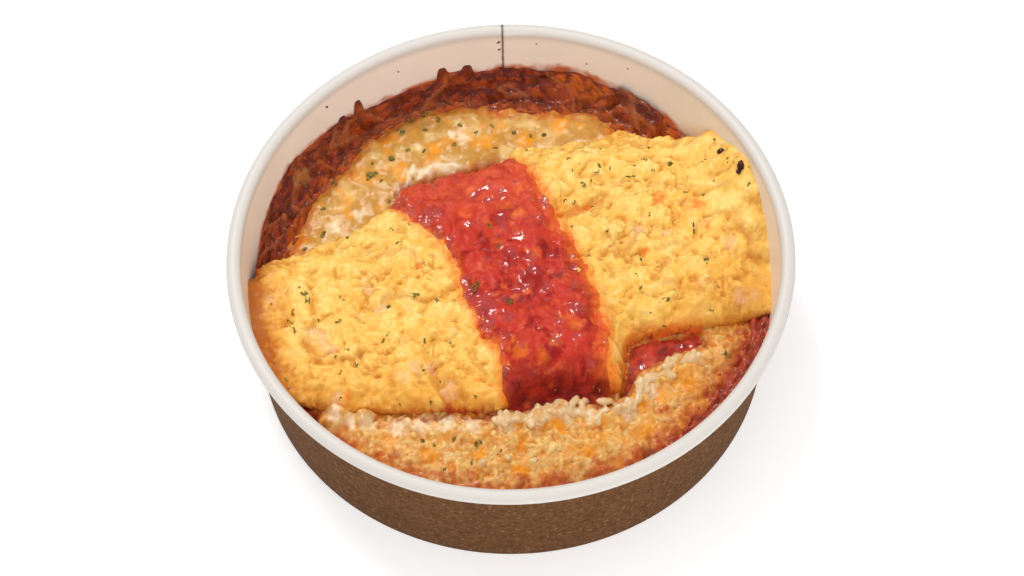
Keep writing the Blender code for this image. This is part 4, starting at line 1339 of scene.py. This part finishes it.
def makeCheese():
    def keep(x, y):
        azimuth = np.degrees(np.arctan2(y, x))
        reach = roundTheBowl(cheeseReach, azimuth) + 2.6
        return reach - np.hypot(x, y)

    cheese = foodSheet("cheeseGratin", gratin, keep, cheeseFine)
    x, y = planOf(placesOf(cheese.data))
    azimuth, radius = np.degrees(np.arctan2(y, x)), np.hypot(x, y)
    reach = roundTheBowl(cheeseReach, azimuth)
    wx, wy = shifted(x, y, 1.3, 2.6, 64.0)
    patchy = lumps(x, y, 6.0, 66.0)
    _, rice = grainRelief(x, y, np.zeros(x.shape))
    front = y < 0
    crumb = curds(x, y, gratin["crumbSize"], 11.0, 2)
    paint(cheese, "crumb", np.where(front, 1.0, 0.12))
    paint(cheese, "dip", np.where(front, smooth((0.36 - crumb) / 0.2), 0.0))
    paint(cheese, "rice", np.where(front, np.maximum(rice, 0.9 * smooth((crumb - 0.46) / 0.2)), 0.5 * rice))
    # oil stands in patches and towards the ring
    orange = 0.45 * smooth(patchy * 2.0) + 0.5 * smooth(1.0 - (reach - radius) / 5.0)
    orange = np.where(front, 0.55 * orange + 0.12 + 0.2 * smooth((x - 5.0) / 40.0), orange * 0.8)
    oily = [
        (8.3, -39.8, 3.0), (12.2, -41.0, 3.0), (22.7, -39.9, 3.5), (33.4, -33.8, 4.5), (38.7, -32.2, 4.0),
        (-8.8, -49.2, 4.0), (-21.9, -49.0, 4.0), (1.6, -54.0, 4.0), (19.9, -48.3, 4.0),
        (35.8, -42.4, 5.0), (-34.0, 50.5, 6.0), (-29.9, 41.2, 3.6), (-20.3, 47.5, 3.6), (-6.5, 49.9, 4.0),
        (-28.5, 38.8, 3.0), (4.5, 49.5, 3.6), (14.2, 54.5, 4.0), (-44.0, 40.0, 4.0),
    ]
    paint(cheese, "orange", np.maximum(orange, 0.95 * spots(wx, wy, oily, 3.5, 0.9)))
    white = [
        (-15.6, 52.2, 2.6), (-12.8, 50.7, 2.6), (-30.4, 34.6, 1.8), (-29.1, 31.0, 1.5),
        (-21.6, 40.1, 2.2), (-17.5, 40.6, 2.2), (-48.0, 22.0, 3.4), (-41.0, 26.0, 2.6), (8.0, 46.5, 3.4),
        (20.0, 48.0, 3.4), (-46.9, -37.5, 3.2), (-42.9, -38.6, 3.0), (-38.0, -39.4, 3.0),
        (30.0, -37.0, 3.6), (36.0, -31.0, 3.0), (43.1, -21.4, 2.2), (49.0, -21.0, 2.0), (6.0, -39.0, 3.4),
        (14.0, -38.0, 3.0), (20.0, -38.4, 2.8), (-2.0, -40.6, 3.4), (-11.0, -40.2, 3.6),
        (-24.0, -39.8, 4.0), (-30.0, -40.6, 4.0), (-17.5, -39.6, 3.6),
    ]
    strands = np.zeros(x.shape)
    for strand, width, _ in cheeseStrands:
        strands = np.maximum(strands, along(wx, wy, strand, width * 1.1))
    paint(cheese, "white", np.maximum(spots(wx, wy, white, 2.4, 0.9) * 0.9, strands))
    brown = [
        (-30.9, -49.1, 2.4), (-42.8, -44.0, 2.6), (22.4, -51.9, 3.4), (26.3, -54.3, 3.6),
        (32.9, -50.1, 3.0), (-11.5, -56.0, 3.0), (-19.3, -55.0, 3.0), (49.2, -39.0, 3.5),
        (58.9, -27.0, 3.0), (39.6, -36.5, 2.4), (2.0, -56.5, 3.0), (12.0, -56.5, 3.0),
    ]
    # browned where it meets the ring, further in at the front
    deepEdge = np.where(front, 8.0, 4.5)
    inset = np.where(front, 1.2, -1.5)
    edge = smooth(1.0 - (reach + inset - radius) / deepEdge) * (0.85 + 0.8 * patchy)
    edge = edge * np.where(front, 1.0, 0.6)
    # a pale strip of cheese that stays clean
    clean = [(-47.0, -37.0, 5.6), (-41.0, -38.0, 5.0), (-34.0, -39.6, 4.6), (-27.0, -39.6, 4.0)]
    strip = spots(wx, wy, clean, 4.0, 0.7)
    paint(cheese, "brown", np.maximum(edge, 0.8 * spots(wx, wy, brown, 3.0, 0.9)) * (1.0 - strip))
    # sauce that soaked in beside the pool, before the omelette and along the right side
    nearPool = np.exp(-(distanceTo(x, y, sauceRim) / 1.3) ** 2) * (0.7 + 0.6 * patchy)
    spill = [(-38.9, -37.2), (-30.0, -38.4), (-19.0, -37.6), (-11.0, -37.8), (-4.7, -38.4)]
    red = np.maximum(nearPool * 0.8, along(wx, wy, spill, 0.9) * 0.8)
    right = [(67.7, -9.0), (62.5, -17.1), (58.0, -25.3), (51.5, -33.4), (46.8, -41.4), (41.3, -48.2)]
    red = np.maximum(red, along(wx, wy, right, 1.7) * (0.5 + 0.6 * patchy))
    paint(cheese, "red", red * (1.0 - strip))
    green = [
        (-22.7, 59.8, 3.0), (-27.7, 57.7, 3.0), (-29.3, 53.1, 2.4), (-46.0, 43.7, 2.6), (-18.0, 62.0, 3.0),
        (-48.4, 37.0, 2.4), (-37.8, 39.2, 1.8), (-8.8, -46.3, 1.6), (57.0, -20.0, 2.0),
    ]
    olive = [(-24.0, 57.0, 9.0), (-34.0, 50.0, 8.0), (-46.0, 41.0, 7.0), (-51.0, 33.0, 5.0)]
    faint = 0.45 * spots(wx, wy, olive, 8.0, 1.0)
    paint(cheese, "green", np.maximum(spots(wx, wy, green, 2.4, 0.9), faint))
    cheese.data.materials.append(foodMaterial("meltedCheese", cheeseLook))
    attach(cheese, "root")
    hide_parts("cheese_gratin")
    return cheese


cheeseGratin = makeCheese()
print("cheese ready,", len(cheeseGratin.data.polygons), "faces")


eggLook = {
    "base": (247, 200, 100),
    "patches": [((242, 186, 80), 120.0, 0.45, 0.65), ((251, 216, 130), 420.0, 0.54, 0.70)],
    "zones": [
        # painted light: lighter yellow on the tops of the large curds
        ("light", (252, 220, 132), 500.0, 0.7, 0.7),
        ("warm", (240, 168, 62), 300.0, 0.6, 0.8),
        # painted shade: darker orange in the valleys, cracks and creases between the curds
        ("paintedCreaseShade", (206, 130, 46), 600.0, 0.5, 0.8),
        ("pale", (238, 190, 142), 520.0, 1.3, 0.65),
        ("orange", (236, 120, 32), 420.0, 0.6, 0.9),
        ("brown", (186, 98, 16), 500.0, 0.7, 0.95),
        ("red", (178, 54, 30), 500.0, 0.6, 0.95),
    ],
    "roughScale": 420.0,
    "rough": (0.38, 0.60),
    "reliefScale": 1100.0,
    "relief": 0.4,
    "reliefDepth": 0.3,
    "beads": 0.35,
    "soft": 1.0,
    "coat": 0.04,
    "coatRough": 0.25,
    "specular": 0.3,
    "soak": 0.08,
    "soakColour": (1.0, 0.6, 0.15),
    "soakDepth": 1.0,
}


def makeOmelette():
    def keep(x, y):
        return np.minimum(*eggEdges(x, y)) + 1.3

    egg = foodSheet("softOmelette", omelette, keep, eggHeight)
    x, y = planOf(placesOf(egg.data))
    wx, wy = shifted(x, y, 1.2, 2.4, 70.0)
    patchy = lumps(x, y, 6.0, 72.0)
    bx, by, mounds = eggMounds(x, y)
    # painted shade in the valleys, cracks, torn lines and creases between the curds
    paintedCreaseShade = np.maximum(0.40 * smooth((0.36 - mounds) / 0.2), 0.95 * cracks(mounds))
    paintedCreaseShade = np.maximum(paintedCreaseShade, 0.85 * tears(x, y))
    # painted light: the tops of the large curds lighter
    paint(egg, "light", 0.8 * smooth((mounds - 0.46) / 0.3))
    for places, depth, width in omelette["creases"]:
        paintedCreaseShade = np.maximum(paintedCreaseShade, min(1.0, depth) * along(bx, by, places, width * 1.1))
    paint(egg, "paintedCreaseShade", paintedCreaseShade)
    # warmer where the egg lies low in front and at both ends
    low = smooth((-y - 20.0) / 16.0)
    right = smooth((x - 34.0) / 30.0) * smooth((16.0 - y) / 24.0)
    left = 1.4 * smooth(1.0 - (x + np.sqrt(np.maximum(planRadius ** 2 - y ** 2, 0.0))) / 15.0) * (x < 0)
    paint(egg, "warm", np.maximum(np.maximum(low, right), left) * (0.75 + 0.5 * patchy))
    pale = [
        (-50.1, -17.8, 3.6), (-47.5, -20.7, 2.8), (-52.2, -15.2, 2.4), (-63.6, -4.5, 2.2),
        (-34.5, -9.3, 2.4), (-25.3, -25.9, 3.2), (-21.4, -26.6, 2.6), (-29.2, -28.6, 2.4),
        (33.6, 14.1, 2.8), (41.0, 13.4, 2.4), (-38.0, -1.5, 2.4), (61.0, -5.0, 3.0), (64.5, -3.0, 2.6),
        (-16.6, -32.0, 3.6), (-4.4, -33.4, 1.6), (58.0, 10.0, 3.0), (-46.0, -33.6, 3.0),
    ]
    paint(egg, "pale", spots(wx, wy, pale, 2.6, 0.9))
    # the sauce tints the egg along its edge, most on the tongue beside the pool
    toSauce = distanceTo(x, y, sauceRim)
    glow = np.exp(-(toSauce / 1.7) ** 2) * (0.75 + 0.5 * patchy)
    orange = [
        (40.7, 24.6, 2.2), (38.8, 24.2, 1.6), (17.8, 21.0, 2.2), (14.5, 19.5, 1.8), (21.0, 22.6, 1.8),
        (52.2, 15.0, 2.2), (-42.6, -34.0, 2.2), (-24.0, 5.5, 1.5), (-9.0, -30.0, 1.6), (50.0, 22.0, 3.0),
        (35.5, 8.0, 1.6),
    ]
    tongue = spots(wx, wy, [(25.4, -27.2, 4.4), (26.4, -31.0, 4.0), (23.6, -23.4, 3.4)], 4.0, 0.8)
    paint(egg, "orange", np.maximum(np.maximum(glow, 0.8 * spots(wx, wy, orange, 2.0, 0.9)), tongue))
    # brown where the egg is torn, at its front edge and where it lies against the wall on the left
    torn = [(62.3, 14.9, 3.4), (64.2, 11.7, 3.2), (60.9, 18.3, 3.0), (65.1, 7.4, 3.0), (62.9, 21.4, 3.0)]
    rough = spots(wx, wy, torn, 3.2, 0.9)
    front = np.exp(-(np.maximum(eggEdges(x, y)[1], 0.0) / 1.1) ** 2) * 0.5
    wallLeft = np.where(x < 0, np.exp(-(np.maximum(planRadius - np.hypot(x, y), 0.0) / 5.0) ** 2), 0.0)
    brown = np.maximum(np.maximum(rough * 0.55 * (0.6 + patchy), front), wallLeft * (1.25 + 0.5 * patchy))
    paint(egg, "brown", brown)
    # red at the foot of the front edge, from the sauce below
    height = placesOf(egg.data)[:, 2] / mm
    foot = np.exp(-((wx + 12.0) / 7.0) ** 2) + np.exp(-((wx + 38.0) / 2.6) ** 2) + 0.25
    foot = np.where((y < -28) & (x < 0), foot, 0.0) * smooth((22.2 - height) / 1.8)
    groove = smooth((19.8 - height) / 1.4) * (y < -8) * (x > 28)
    tongueFoot = spots(wx, wy, [(26.0, -33.4, 3.4), (23.6, -31.4, 2.6), (28.4, -33.0, 2.4)], 2.0, 0.8)
    paint(egg, "red", np.maximum(np.maximum(foot, 0.8 * groove), tongueFoot))
    egg.data.materials.append(foodMaterial("softEgg", eggLook))
    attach(egg, "root")
    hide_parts("omelette")
    return egg


omelettePiece = makeOmelette()
print("omelette ready,", len(omelettePiece.data.polygons), "faces")


tomatoLook = {
    "base": (200, 58, 42),
    "patches": [((160, 32, 28), 180.0, 0.48, 0.60), ((222, 96, 52), 230.0, 0.55, 0.68)],
    "zones": [
        ("thin", (236, 118, 44), 380.0, 0.7, 0.85),
        ("top", (222, 88, 56), 300.0, 0.6, 0.6),
        ("wet", (172, 22, 22), 500.0, 0.6, 0.6),
        # dark where the sauce is thick, and painted shade low on the front and in the pool
        ("deep", (116, 26, 22), 420.0, 0.7, 0.9),
        ("green", (98, 70, 34), 600.0, 0.9, 0.6),
    ],
    "roughScale": 420.0,
    "rough": (0.40, 0.58),
    "reliefScale": 900.0,
    "relief": 0.14,
    "reliefDepth": 0.25,
    "beads": 0.6,
    "soft": 0.8,
    "coat": 0.0,
    "wetCoat": 1.0,
    "coatRough": 0.05,
    "coatIor": 2.1,
    "specular": 0.22,
    "soak": 0.06,
    "soakColour": (1.0, 0.25, 0.08),
    "soakDepth": 1.4,
}


def makeTomato():
    def keep(x, y):
        return sauceEdge(x, y) + 1.0

    sauce = foodSheet("tomatoSauce", tomato, keep, sauceHeight)
    x, y = planOf(placesOf(sauce.data))
    wx, wy = shifted(x, y, 1.4, 2.6, 80.0)
    patchy = lumps(x, y, 6.0, 82.0)
    # orange where the sauce thins out, dark where it is deep; low on the front and in the pool the dark is
    # painted shade
    gap = np.maximum(sauceEdge(x, y), 0.0)
    soft = mix(1.3, 2.6, smooth(0.5 + (x + 0.35 * y - 4.0) / 8.0))  # the right edge thins out more slowly
    rim = np.exp(-(gap / soft) ** 2) * (0.9 + 0.4 * patchy)
    thin = [
        (-3.1, -21.4, 2.6), (0.8, -20.7, 2.2), (2.1, -24.1, 2.6), (12.6, -13.5, 2.6), (16.4, -16.7, 3.0),
        (-3.7, -26.5, 2.0), (2.7, 18.1, 2.6), (-1.3, 21.5, 2.6), (-10.5, 27.2, 2.4), (-5.2, 32.7, 2.4),
        (11.1, -20.8, 2.4), (-12.0, 20.0, 2.4), (4.0, 27.0, 2.6), (18.6, 2.0, 2.0), (15.5, 8.0, 2.0),
        (8.0, -25.0, 2.4),
    ]
    pool = ~insideOf(x, y, omeletteOutline)
    paint(sauce, "wet", wetness(x, y))
    paint(sauce, "thin", np.where(pool, 0.25, 1.0) * np.maximum(rim, 0.85 * spots(wx, wy, thin, 2.6, 0.95)))
    paint(sauce, "top", smooth((y - 8.0) / 22.0) * 0.8 + 0.3 * smooth(patchy))
    deep = [
        (1.9, -32.2, 4.0), (7.2, -32.9, 4.6), (12.4, -29.2, 4.2), (16.4, -30.7, 4.6), (20.2, -33.3, 3.6),
        (-1.6, -8.2, 1.8), (2.3, -8.3, 1.8), (9.1, 6.8, 2.0), (-8.0, 12.7, 1.8), (34.0, -21.0, 3.6),
        (40.0, -17.5, 3.4), (46.0, -16.4, 2.4), (49.6, -16.0, 2.4), (32.4, -26.4, 2.6), (13.0, -1.0, 1.8),
        (22.0, -30.0, 3.0),
    ]
    # painted shade: darker low on the front, where the sauce runs down under the egg's edge, and in the
    # pool
    low = 0.6 * smooth((-24.0 - wy) / 6.0)
    paint(sauce, "deep", np.maximum(spots(wx, wy, deep, 3.0, 0.95) * 0.9, np.where(pool, 0.3, low)))
    green = [
        (-1.6, -9.0, 1.4), (-3.0, 8.5, 1.4), (8.5, -34.0, 1.4), (5.0, -33.0, 1.2), (11.0, -33.4, 1.4),
        (1.5, 13.5, 1.2),
    ]
    paint(sauce, "green", spots(wx, wy, green, 1.3, 0.9))
    sauce.data.materials.append(foodMaterial("tomatoSauce", tomatoLook))
    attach(sauce, "root")
    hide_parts("tomato_sauce")
    return sauce


tomatoPiece = makeTomato()
print("tomato sauce ready,", len(tomatoPiece.data.polygons), "faces")


foodSurface = surfaceOf(meatSauce, cheeseGratin, omelettePiece, tomatoPiece)


def copyAt(model, stand, number=0):
    # a copy with its own mesh, its place written into the mesh
    piece = model.copy()
    piece.data = model.data.copy()
    piece.data.transform(stand)
    piece.data.polygons.foreach_set("material_index", [number] * len(piece.data.polygons))
    bpy.context.scene.collection.objects.link(piece)
    return piece


def joinCopies(name, copies, models, materials):
    for model in models:
        bpy.data.objects.remove(model, do_unlink=True)
    deselectAll()
    for piece in copies:
        piece.select_set(True)
    bpy.context.view_layer.objects.active = copies[0]
    bpy.ops.object.join()
    thing = bpy.context.object
    thing.name = thing.data.name = name
    for material in materials:
        thing.data.materials.append(material)
    thing.data.shade_smooth()
    thing.data.set_sharp_from_angle(angle=math.radians(50.0))
    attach(thing, "root")
    return thing


def applied(thing, kind, **settings):
    modifier = thing.modifiers.new(kind.lower(), kind)
    for key, value in settings.items():
        setattr(modifier, key, value)
    bpy.context.view_layer.objects.active = thing
    bpy.ops.object.modifier_apply(modifier=modifier.name)


def jitter(offset, uniform, seed):
    bpy.ops.object.mode_set(mode="EDIT")
    bpy.ops.mesh.select_all(action="SELECT")
    bpy.ops.transform.vertex_random(offset=offset, uniform=uniform, normal=0.0, seed=seed)
    bpy.ops.mesh.normals_make_consistent(inside=False)
    bpy.ops.object.mode_set(mode="OBJECT")


def standOn(spot, normal, turn, tilt=0.0, roll=0.0, sink=0.0):
    # the place of a piece that lies on a surface: angles in radians, sink in millimetres
    stand = normal.to_track_quat("Z", "Y").to_matrix().to_4x4()
    place = Matrix.Translation(spot - normal * sink * mm) @ stand
    turned = place @ Matrix.Rotation(turn, 4, "Z") @ Matrix.Rotation(tilt, 4, "Y")
    return turned @ Matrix.Rotation(roll, 4, "X")


parsley = {
    "green": (138, 124, 46),
    "dark": (88, 68, 32),
    "darkest": (72, 62, 28),
    "light": (170, 152, 66),
    "length": 1.65,
    "width": 0.95,
    "thickness": 0.2,
}
leftFlakes = [
    (-43.2, 16.1), (-31.3, 16.8), (-29.6, 12.1, 1.6), (-55.4, 15.2), (-55.5, 1.2), (-46.5, 1.5),
    (-22.7, 5.5), (-21.6, 0.7), (-54.3, -4.1), (-53.5, -5.6, 1.6), (-45.6, -4.2), (-44.2, -5.2),
    (-63.3, -5.7), (-25.8, -4.5, 1.4), (-24.6, -4.9), (-19.3, -6.6), (-36.6, -8.8), (-32.2, -8.4),
    (-57.4, -8.7), (-58.7, -11.1, 1.5), (-57.4, -11.4), (-50.8, -11.5), (-45.5, -12.0), (-57.1, -14.9),
    (-31.3, -13.5), (-32.6, -16.2), (-34.0, -17.5, 1.4), (-49.6, -18.1), (-43.1, -20.6), (-46.4, -22.5),
    (-40.6, -25.1), (-44.8, -27.5), (-62.5, -23.1), (-58.6, -29.8), (-59.1, -27.4), (-44.9, -34.2),
    (-29.2, -35.0), (-21.7, -35.5), (-10.1, -34.8), (-18.6, -30.1), (-52.6, -3.4), (-56.0, -2.4),
]
backFlakes = [
    (-13.4, 55.4), (-19.4, 56.9), (-4.5, 55.0), (-23.0, 53.9), (-15.0, 48.7), (-27.7, 47.3),
    (-23.3, 46.9), (-32.3, 44.6, 1.4), (-37.5, 43.0), (-3.8, 47.1), (-37.8, 39.2, 1.5), (-35.0, 37.1),
    (-50.7, 28.2), (-50.6, 19.8, 1.4), (-31.6, 17.6), (-26.9, 17.7), (-32.8, 30.5), (-36.5, 39.8),
    (-38.4, 38.0), (-22.7, 59.8), (-23.6, 58.8), (-27.7, 57.7), (-26.5, 57.2), (-29.3, 53.1),
    (-30.4, 53.8), (-46.0, 43.7), (-45.0, 42.8), (-18.0, 62.3), (-20.0, 61.4), (-48.4, 37.0),
    (-47.4, 36.0), (-9.0, 53.0), (1.5, 52.6), (6.0, 51.0),
]
rightFlakes = [
    (9.7, 51.6), (22.8, 42.5), (24.9, 41.8), (13.9, 42.1), (4.7, 43.6), (16.1, 37.7), (19.0, 35.8),
    (17.1, 32.7), (26.8, 34.6), (23.5, 32.5), (21.8, 30.1), (34.0, 34.8), (36.5, 36.5), (38.5, 32.9),
    (52.0, 35.0), (54.7, 39.5), (58.0, 31.2), (59.2, 30.4), (63.0, 27.6), (63.1, 24.1), (54.3, 28.1),
    (52.1, 25.3), (14.8, 23.6), (17.1, 22.9), (16.2, 16.3), (33.6, 20.8), (37.0, 19.2), (42.1, 19.6),
    (25.7, 13.4), (29.5, 10.5), (36.2, 12.4), (21.2, 6.1), (32.9, -0.3), (38.7, -0.8), (54.4, -3.6),
    (39.1, -9.4), (36.7, -10.5), (52.9, -8.9), (28.4, -11.3), (40.6, -13.0), (47.6, -12.4),
    (24.9, 34.2, 1.6), (19.7, 28.7, 1.2), (43.4, 34.5, 1.5), (46.6, 26.6, 1.4), (22.2, 23.9, 1.6),
    (40.3, -7.7, 1.5), (51.2, 3.5, 1.4), (57.4, 32.4),
]
otherFlakes = [
    (-23.9, -44.6), (-20.8, -45.9), (-15.6, -44.5), (-8.8, -45.3, 1.3), (-9.8, -46.0), (-3.3, -47.8),
    (-10.9, -51.6), (-18.0, -53.4), (0.2, -8.9, 1.2), (56.6, -19.6),
]
longFlakes = [  # x, y, turn in degrees, length
    (-22.9, -19.4, 96.0, 3.0), (-16.4, -19.1, 76.0, 3.0), (-23.5, -26.8, 110.0, 2.6),
    (32.6, 31.0, 100.0, 3.6), (48.8, 14.0, 108.0, 3.6), (34.2, -3.0, 145.0, 3.6), (34.4, 5.6, 20.0, 2.6),
    (-10.0, -3.3, 118.0, 4.4), (-9.2, -4.4, 125.0, 3.2), (-31.0, 17.4, 130.0, 2.4),
    (-46.8, 15.0, 35.0, 2.6), (-43.4, 17.4, 125.0, 2.4), (-5.6, 15.4, 60.0, 2.0), (37.5, 42.0, 20.0, 1.8),
]


def flakeModels():
    # torn scraps of leaf, one millimetre long and wide, curled along their length
    models = []
    for seed in range(5):
        deselectAll()
        bpy.ops.mesh.primitive_cylinder_add(
            vertices=8, radius=0.5 * mm, depth=mm, end_fill_type="TRIFAN", location=(0, 0, 0),
        )
        leaf = bpy.context.object
        leaf.name = "flakeModel"
        jitter(0.19 * mm, 0.4, seed + 3)
        co = placesOf(leaf.data)
        co[:, 2] = co[:, 2] * 0.8 + 0.5 * mm * (0.25 - (co[:, 0] / mm) ** 2) * (1.4 if seed % 2 else 0.7)
        setPlaces(leaf.data, co)
        models.append(leaf)
    return models


def leafMaterial(name, first, second):
    material, tree, shader = newMaterial(name)
    mask = useGroup(tree, "mottle", {"Scale": 1200.0, "Low": 0.4, "High": 0.62})
    tree.links.new(blendColour(tree, mask, first, second), shader.inputs["Base Color"])
    shader.inputs["Roughness"].default_value = 0.6
    shader.inputs["Specular IOR Level"].default_value = 0.3
    return material


def makeParsley():
    models = flakeModels()
    copies = []
    for entry in leftFlakes + backFlakes + rightFlakes + otherFlakes:
        size = entry[2] if len(entry) > 2 else draw.uniform(0.7, 1.1)
        spot, normal = dropOn(foodSurface, entry[0], entry[1])
        if spot is None:
            continue
        length = parsley["length"] * size * draw.uniform(0.85, 1.2)
        width = parsley["width"] * size * draw.uniform(0.7, 1.2)
        turn, tilt, roll = draw.uniform(0, math.pi), draw.uniform(-0.15, 0.15), draw.uniform(-0.25, 0.25)
        stand = standOn(spot, normal, turn, tilt, roll, -0.08)
        stand = stand @ Matrix.Diagonal((length, width, parsley["thickness"], 1.0))
        # more than half are green, the others dark or pale
        number = 0 if draw.random() < 0.55 else (1 if draw.random() < 0.6 else 2)
        copies.append(copyAt(draw.choice(models), stand, number))
    for x, y, turn, length in longFlakes:
        spot, normal = dropOn(foodSurface, x, y)
        stand = standOn(spot, normal, math.radians(turn), 0.0, 0.0, -0.12)
        copies.append(copyAt(models[1], stand @ Matrix.Diagonal((length, 0.6, 0.3, 1.0)), 0))
    materials = [
        leafMaterial("driedParsley", parsley["green"], parsley["dark"]),
        leafMaterial("darkParsley", parsley["dark"], parsley["darkest"]),
        leafMaterial("paleParsley", parsley["light"], parsley["green"]),
    ]
    piece = joinCopies("parsleyFlakes", copies, models, materials)
    return piece


def grainModels():
    # cooked rice grains along X, one millimetre long and wide: blunt, a little bent, each its own way
    models = []
    for seed, bend in enumerate((18.0, -14.0, 30.0)):
        deselectAll()
        bpy.ops.mesh.primitive_uv_sphere_add(
            segments=8, ring_count=7, radius=0.5 * mm, location=(0, 0, 0), rotation=(0.0, math.pi / 2, 0.0),
        )
        bpy.ops.object.transform_apply(location=False, rotation=True, scale=False)
        grain = bpy.context.object
        grain.name = "grainModel"
        applied(grain, "CAST", cast_type="CUBOID", factor=0.22)
        jitter(0.03 * mm, 0.5, seed + 11)
        applied(grain, "SIMPLE_DEFORM", deform_method="BEND", deform_axis="Z", angle=math.radians(bend))
        models.append(grain)
    return models


riceLook = {
    "base": (226, 194, 146),
    "patches": [((222, 164, 88), 240.0, 0.50, 0.68), ((238, 216, 180), 420.0, 0.55, 0.7)],
    "zones": [],
    "roughScale": 500.0,
    "rough": (0.25, 0.45),
    "reliefScale": 1500.0,
    "relief": 0.15,
    "reliefDepth": 0.2,
    "beads": 0.2,
    "soft": 1.0,
    "coat": 0.3,
    "coatRough": 0.15,
    "specular": 0.5,
    "soak": 0.35,
    "soakColour": (1.0, 0.7, 0.45),
    "soakDepth": 1.4,
}


standingGrains = [  # x, y, turn in degrees, tilt in radians
    (19.2, -33.6, 70.0, -1.25), (24.2, -35.0, 20.0, -0.5), (12.8, -35.6, 140.0, -0.6),
    (16.0, -34.8, 60.0, -0.4),
]


def makeRice():
    # the ridge of grains that shows along the pool, and a few loose ones in the cheese
    models = grainModels()
    copies = []
    ridge = []
    # three grains at each place in front of the stripe, one further right
    for x, y in ridgeLine:
        for _ in range(3 if -8.0 < x < 16.0 else 1):
            ridge.append((x + draw.uniform(-1.6, 1.6), y + draw.uniform(-1.6, 1.6)))
    loose = scatterGrains(
        10, lambda x, y: y < -37 and not onEgg(x, y) and not onSauce(x, y) and math.hypot(x, y) < 58, 3.0,
    )
    places = [(x, y, 0.0) for x, y in ridge] + [(grain[0], grain[1], 0.6) for grain in loose]
    for x, y, deeper in places:
        spot, normal = dropOn(foodSurface, x, y)
        if spot is None:
            continue
        length, width = gratin["grainLength"] * draw.uniform(0.7, 0.95), draw.uniform(2.1, 2.8)
        size = Matrix.Diagonal((length, width, 2.1, 1.0))
        sink = draw.uniform(0.6, 1.0) + deeper
        stand = standOn(spot, normal, draw.uniform(0, math.pi), draw.uniform(-0.3, 0.3), 0.0, sink)
        copies.append(copyAt(draw.choice(models), stand @ size))
    for x, y, turn, tilt in standingGrains:
        spot, _ = dropOn(foodSurface, x, y)
        stand = standOn(spot, Vector((0, 0, 1)), math.radians(turn), tilt, 0.0, -1.4)
        copies.append(copyAt(models[2], stand @ Matrix.Diagonal((5.6, 2.1, 1.9, 1.0))))
    piece = joinCopies("riceGrains", copies, models, [foodMaterial("cookedRice", riceLook)])
    # the grains stick together
    applied(piece, "REMESH", mode="VOXEL", voxel_size=0.32 * mm)
    applied(piece, "SMOOTH", factor=0.5, iterations=5)
    piece.data.shade_smooth()
    return piece


def lumpModel():
    # an uneven ball one millimetre across
    deselectAll()
    bpy.ops.mesh.primitive_ico_sphere_add(subdivisions=2, radius=0.5 * mm, location=(0, 0, 0))
    ball = bpy.context.object
    ball.name = "lumpModel"
    jitter(0.06 * mm, 0.5, 5)
    return ball


burntLook = dict(meatLook, base=(70, 26, 20), patches=[((36, 14, 12), 500.0, 0.45, 0.6)], zones=[])


burntLumps = [(56.3, 35.6, 2.2, 1.9), (60.9, 28.6, 3.0, 2.0), (60.4, 27.4, 1.6, 1.4)]  # x, y, length, width
wallSpecks = [  # azimuth in degrees, height, length, width
    (134.0, 36.2, 1.1, 0.6), (115.1, 34.0, 0.7, 0.4), (83.5, 37.0, 0.7, 0.4), (72.0, 32.1, 0.7, 0.5),
    (62.3, 35.5, 0.5, 0.4), (91.9, 37.4, 0.6, 1.3), (91.8, 34.4, 0.5, 1.1), (89.8, 36.6, 0.4, 0.5),
]


def makeBits():
    # mince and burnt sauce that lie on the food, and specks that dried on the wall
    model = lumpModel()
    copies = []
    for x, y, length, width in burntLumps:
        spot, normal = dropOn(foodSurface, x, y)
        stand = standOn(spot, normal, math.radians(60.0), 0.0, 0.0, 0.1)
        copies.append(copyAt(model, stand @ Matrix.Diagonal((length, width, 1.3, 1.0))))
    for azimuth, height, length, width in wallSpecks:
        x, y = polar(float(innerRadius(height)) - 0.05, azimuth)
        spot = Vector((x, y, height)) * mm
        stand = standOn(spot, -Vector((x, y, 0.0)).normalized(), draw.uniform(0, 3.0))
        copies.append(copyAt(model, stand @ Matrix.Diagonal((length, width, 0.35, 1.0))))
    piece = joinCopies("burntBits", copies, [model], [foodMaterial("burntBits", burntLook)])
    return piece


makeParsley()
makeRice()
makeBits()
print("toppings ready")
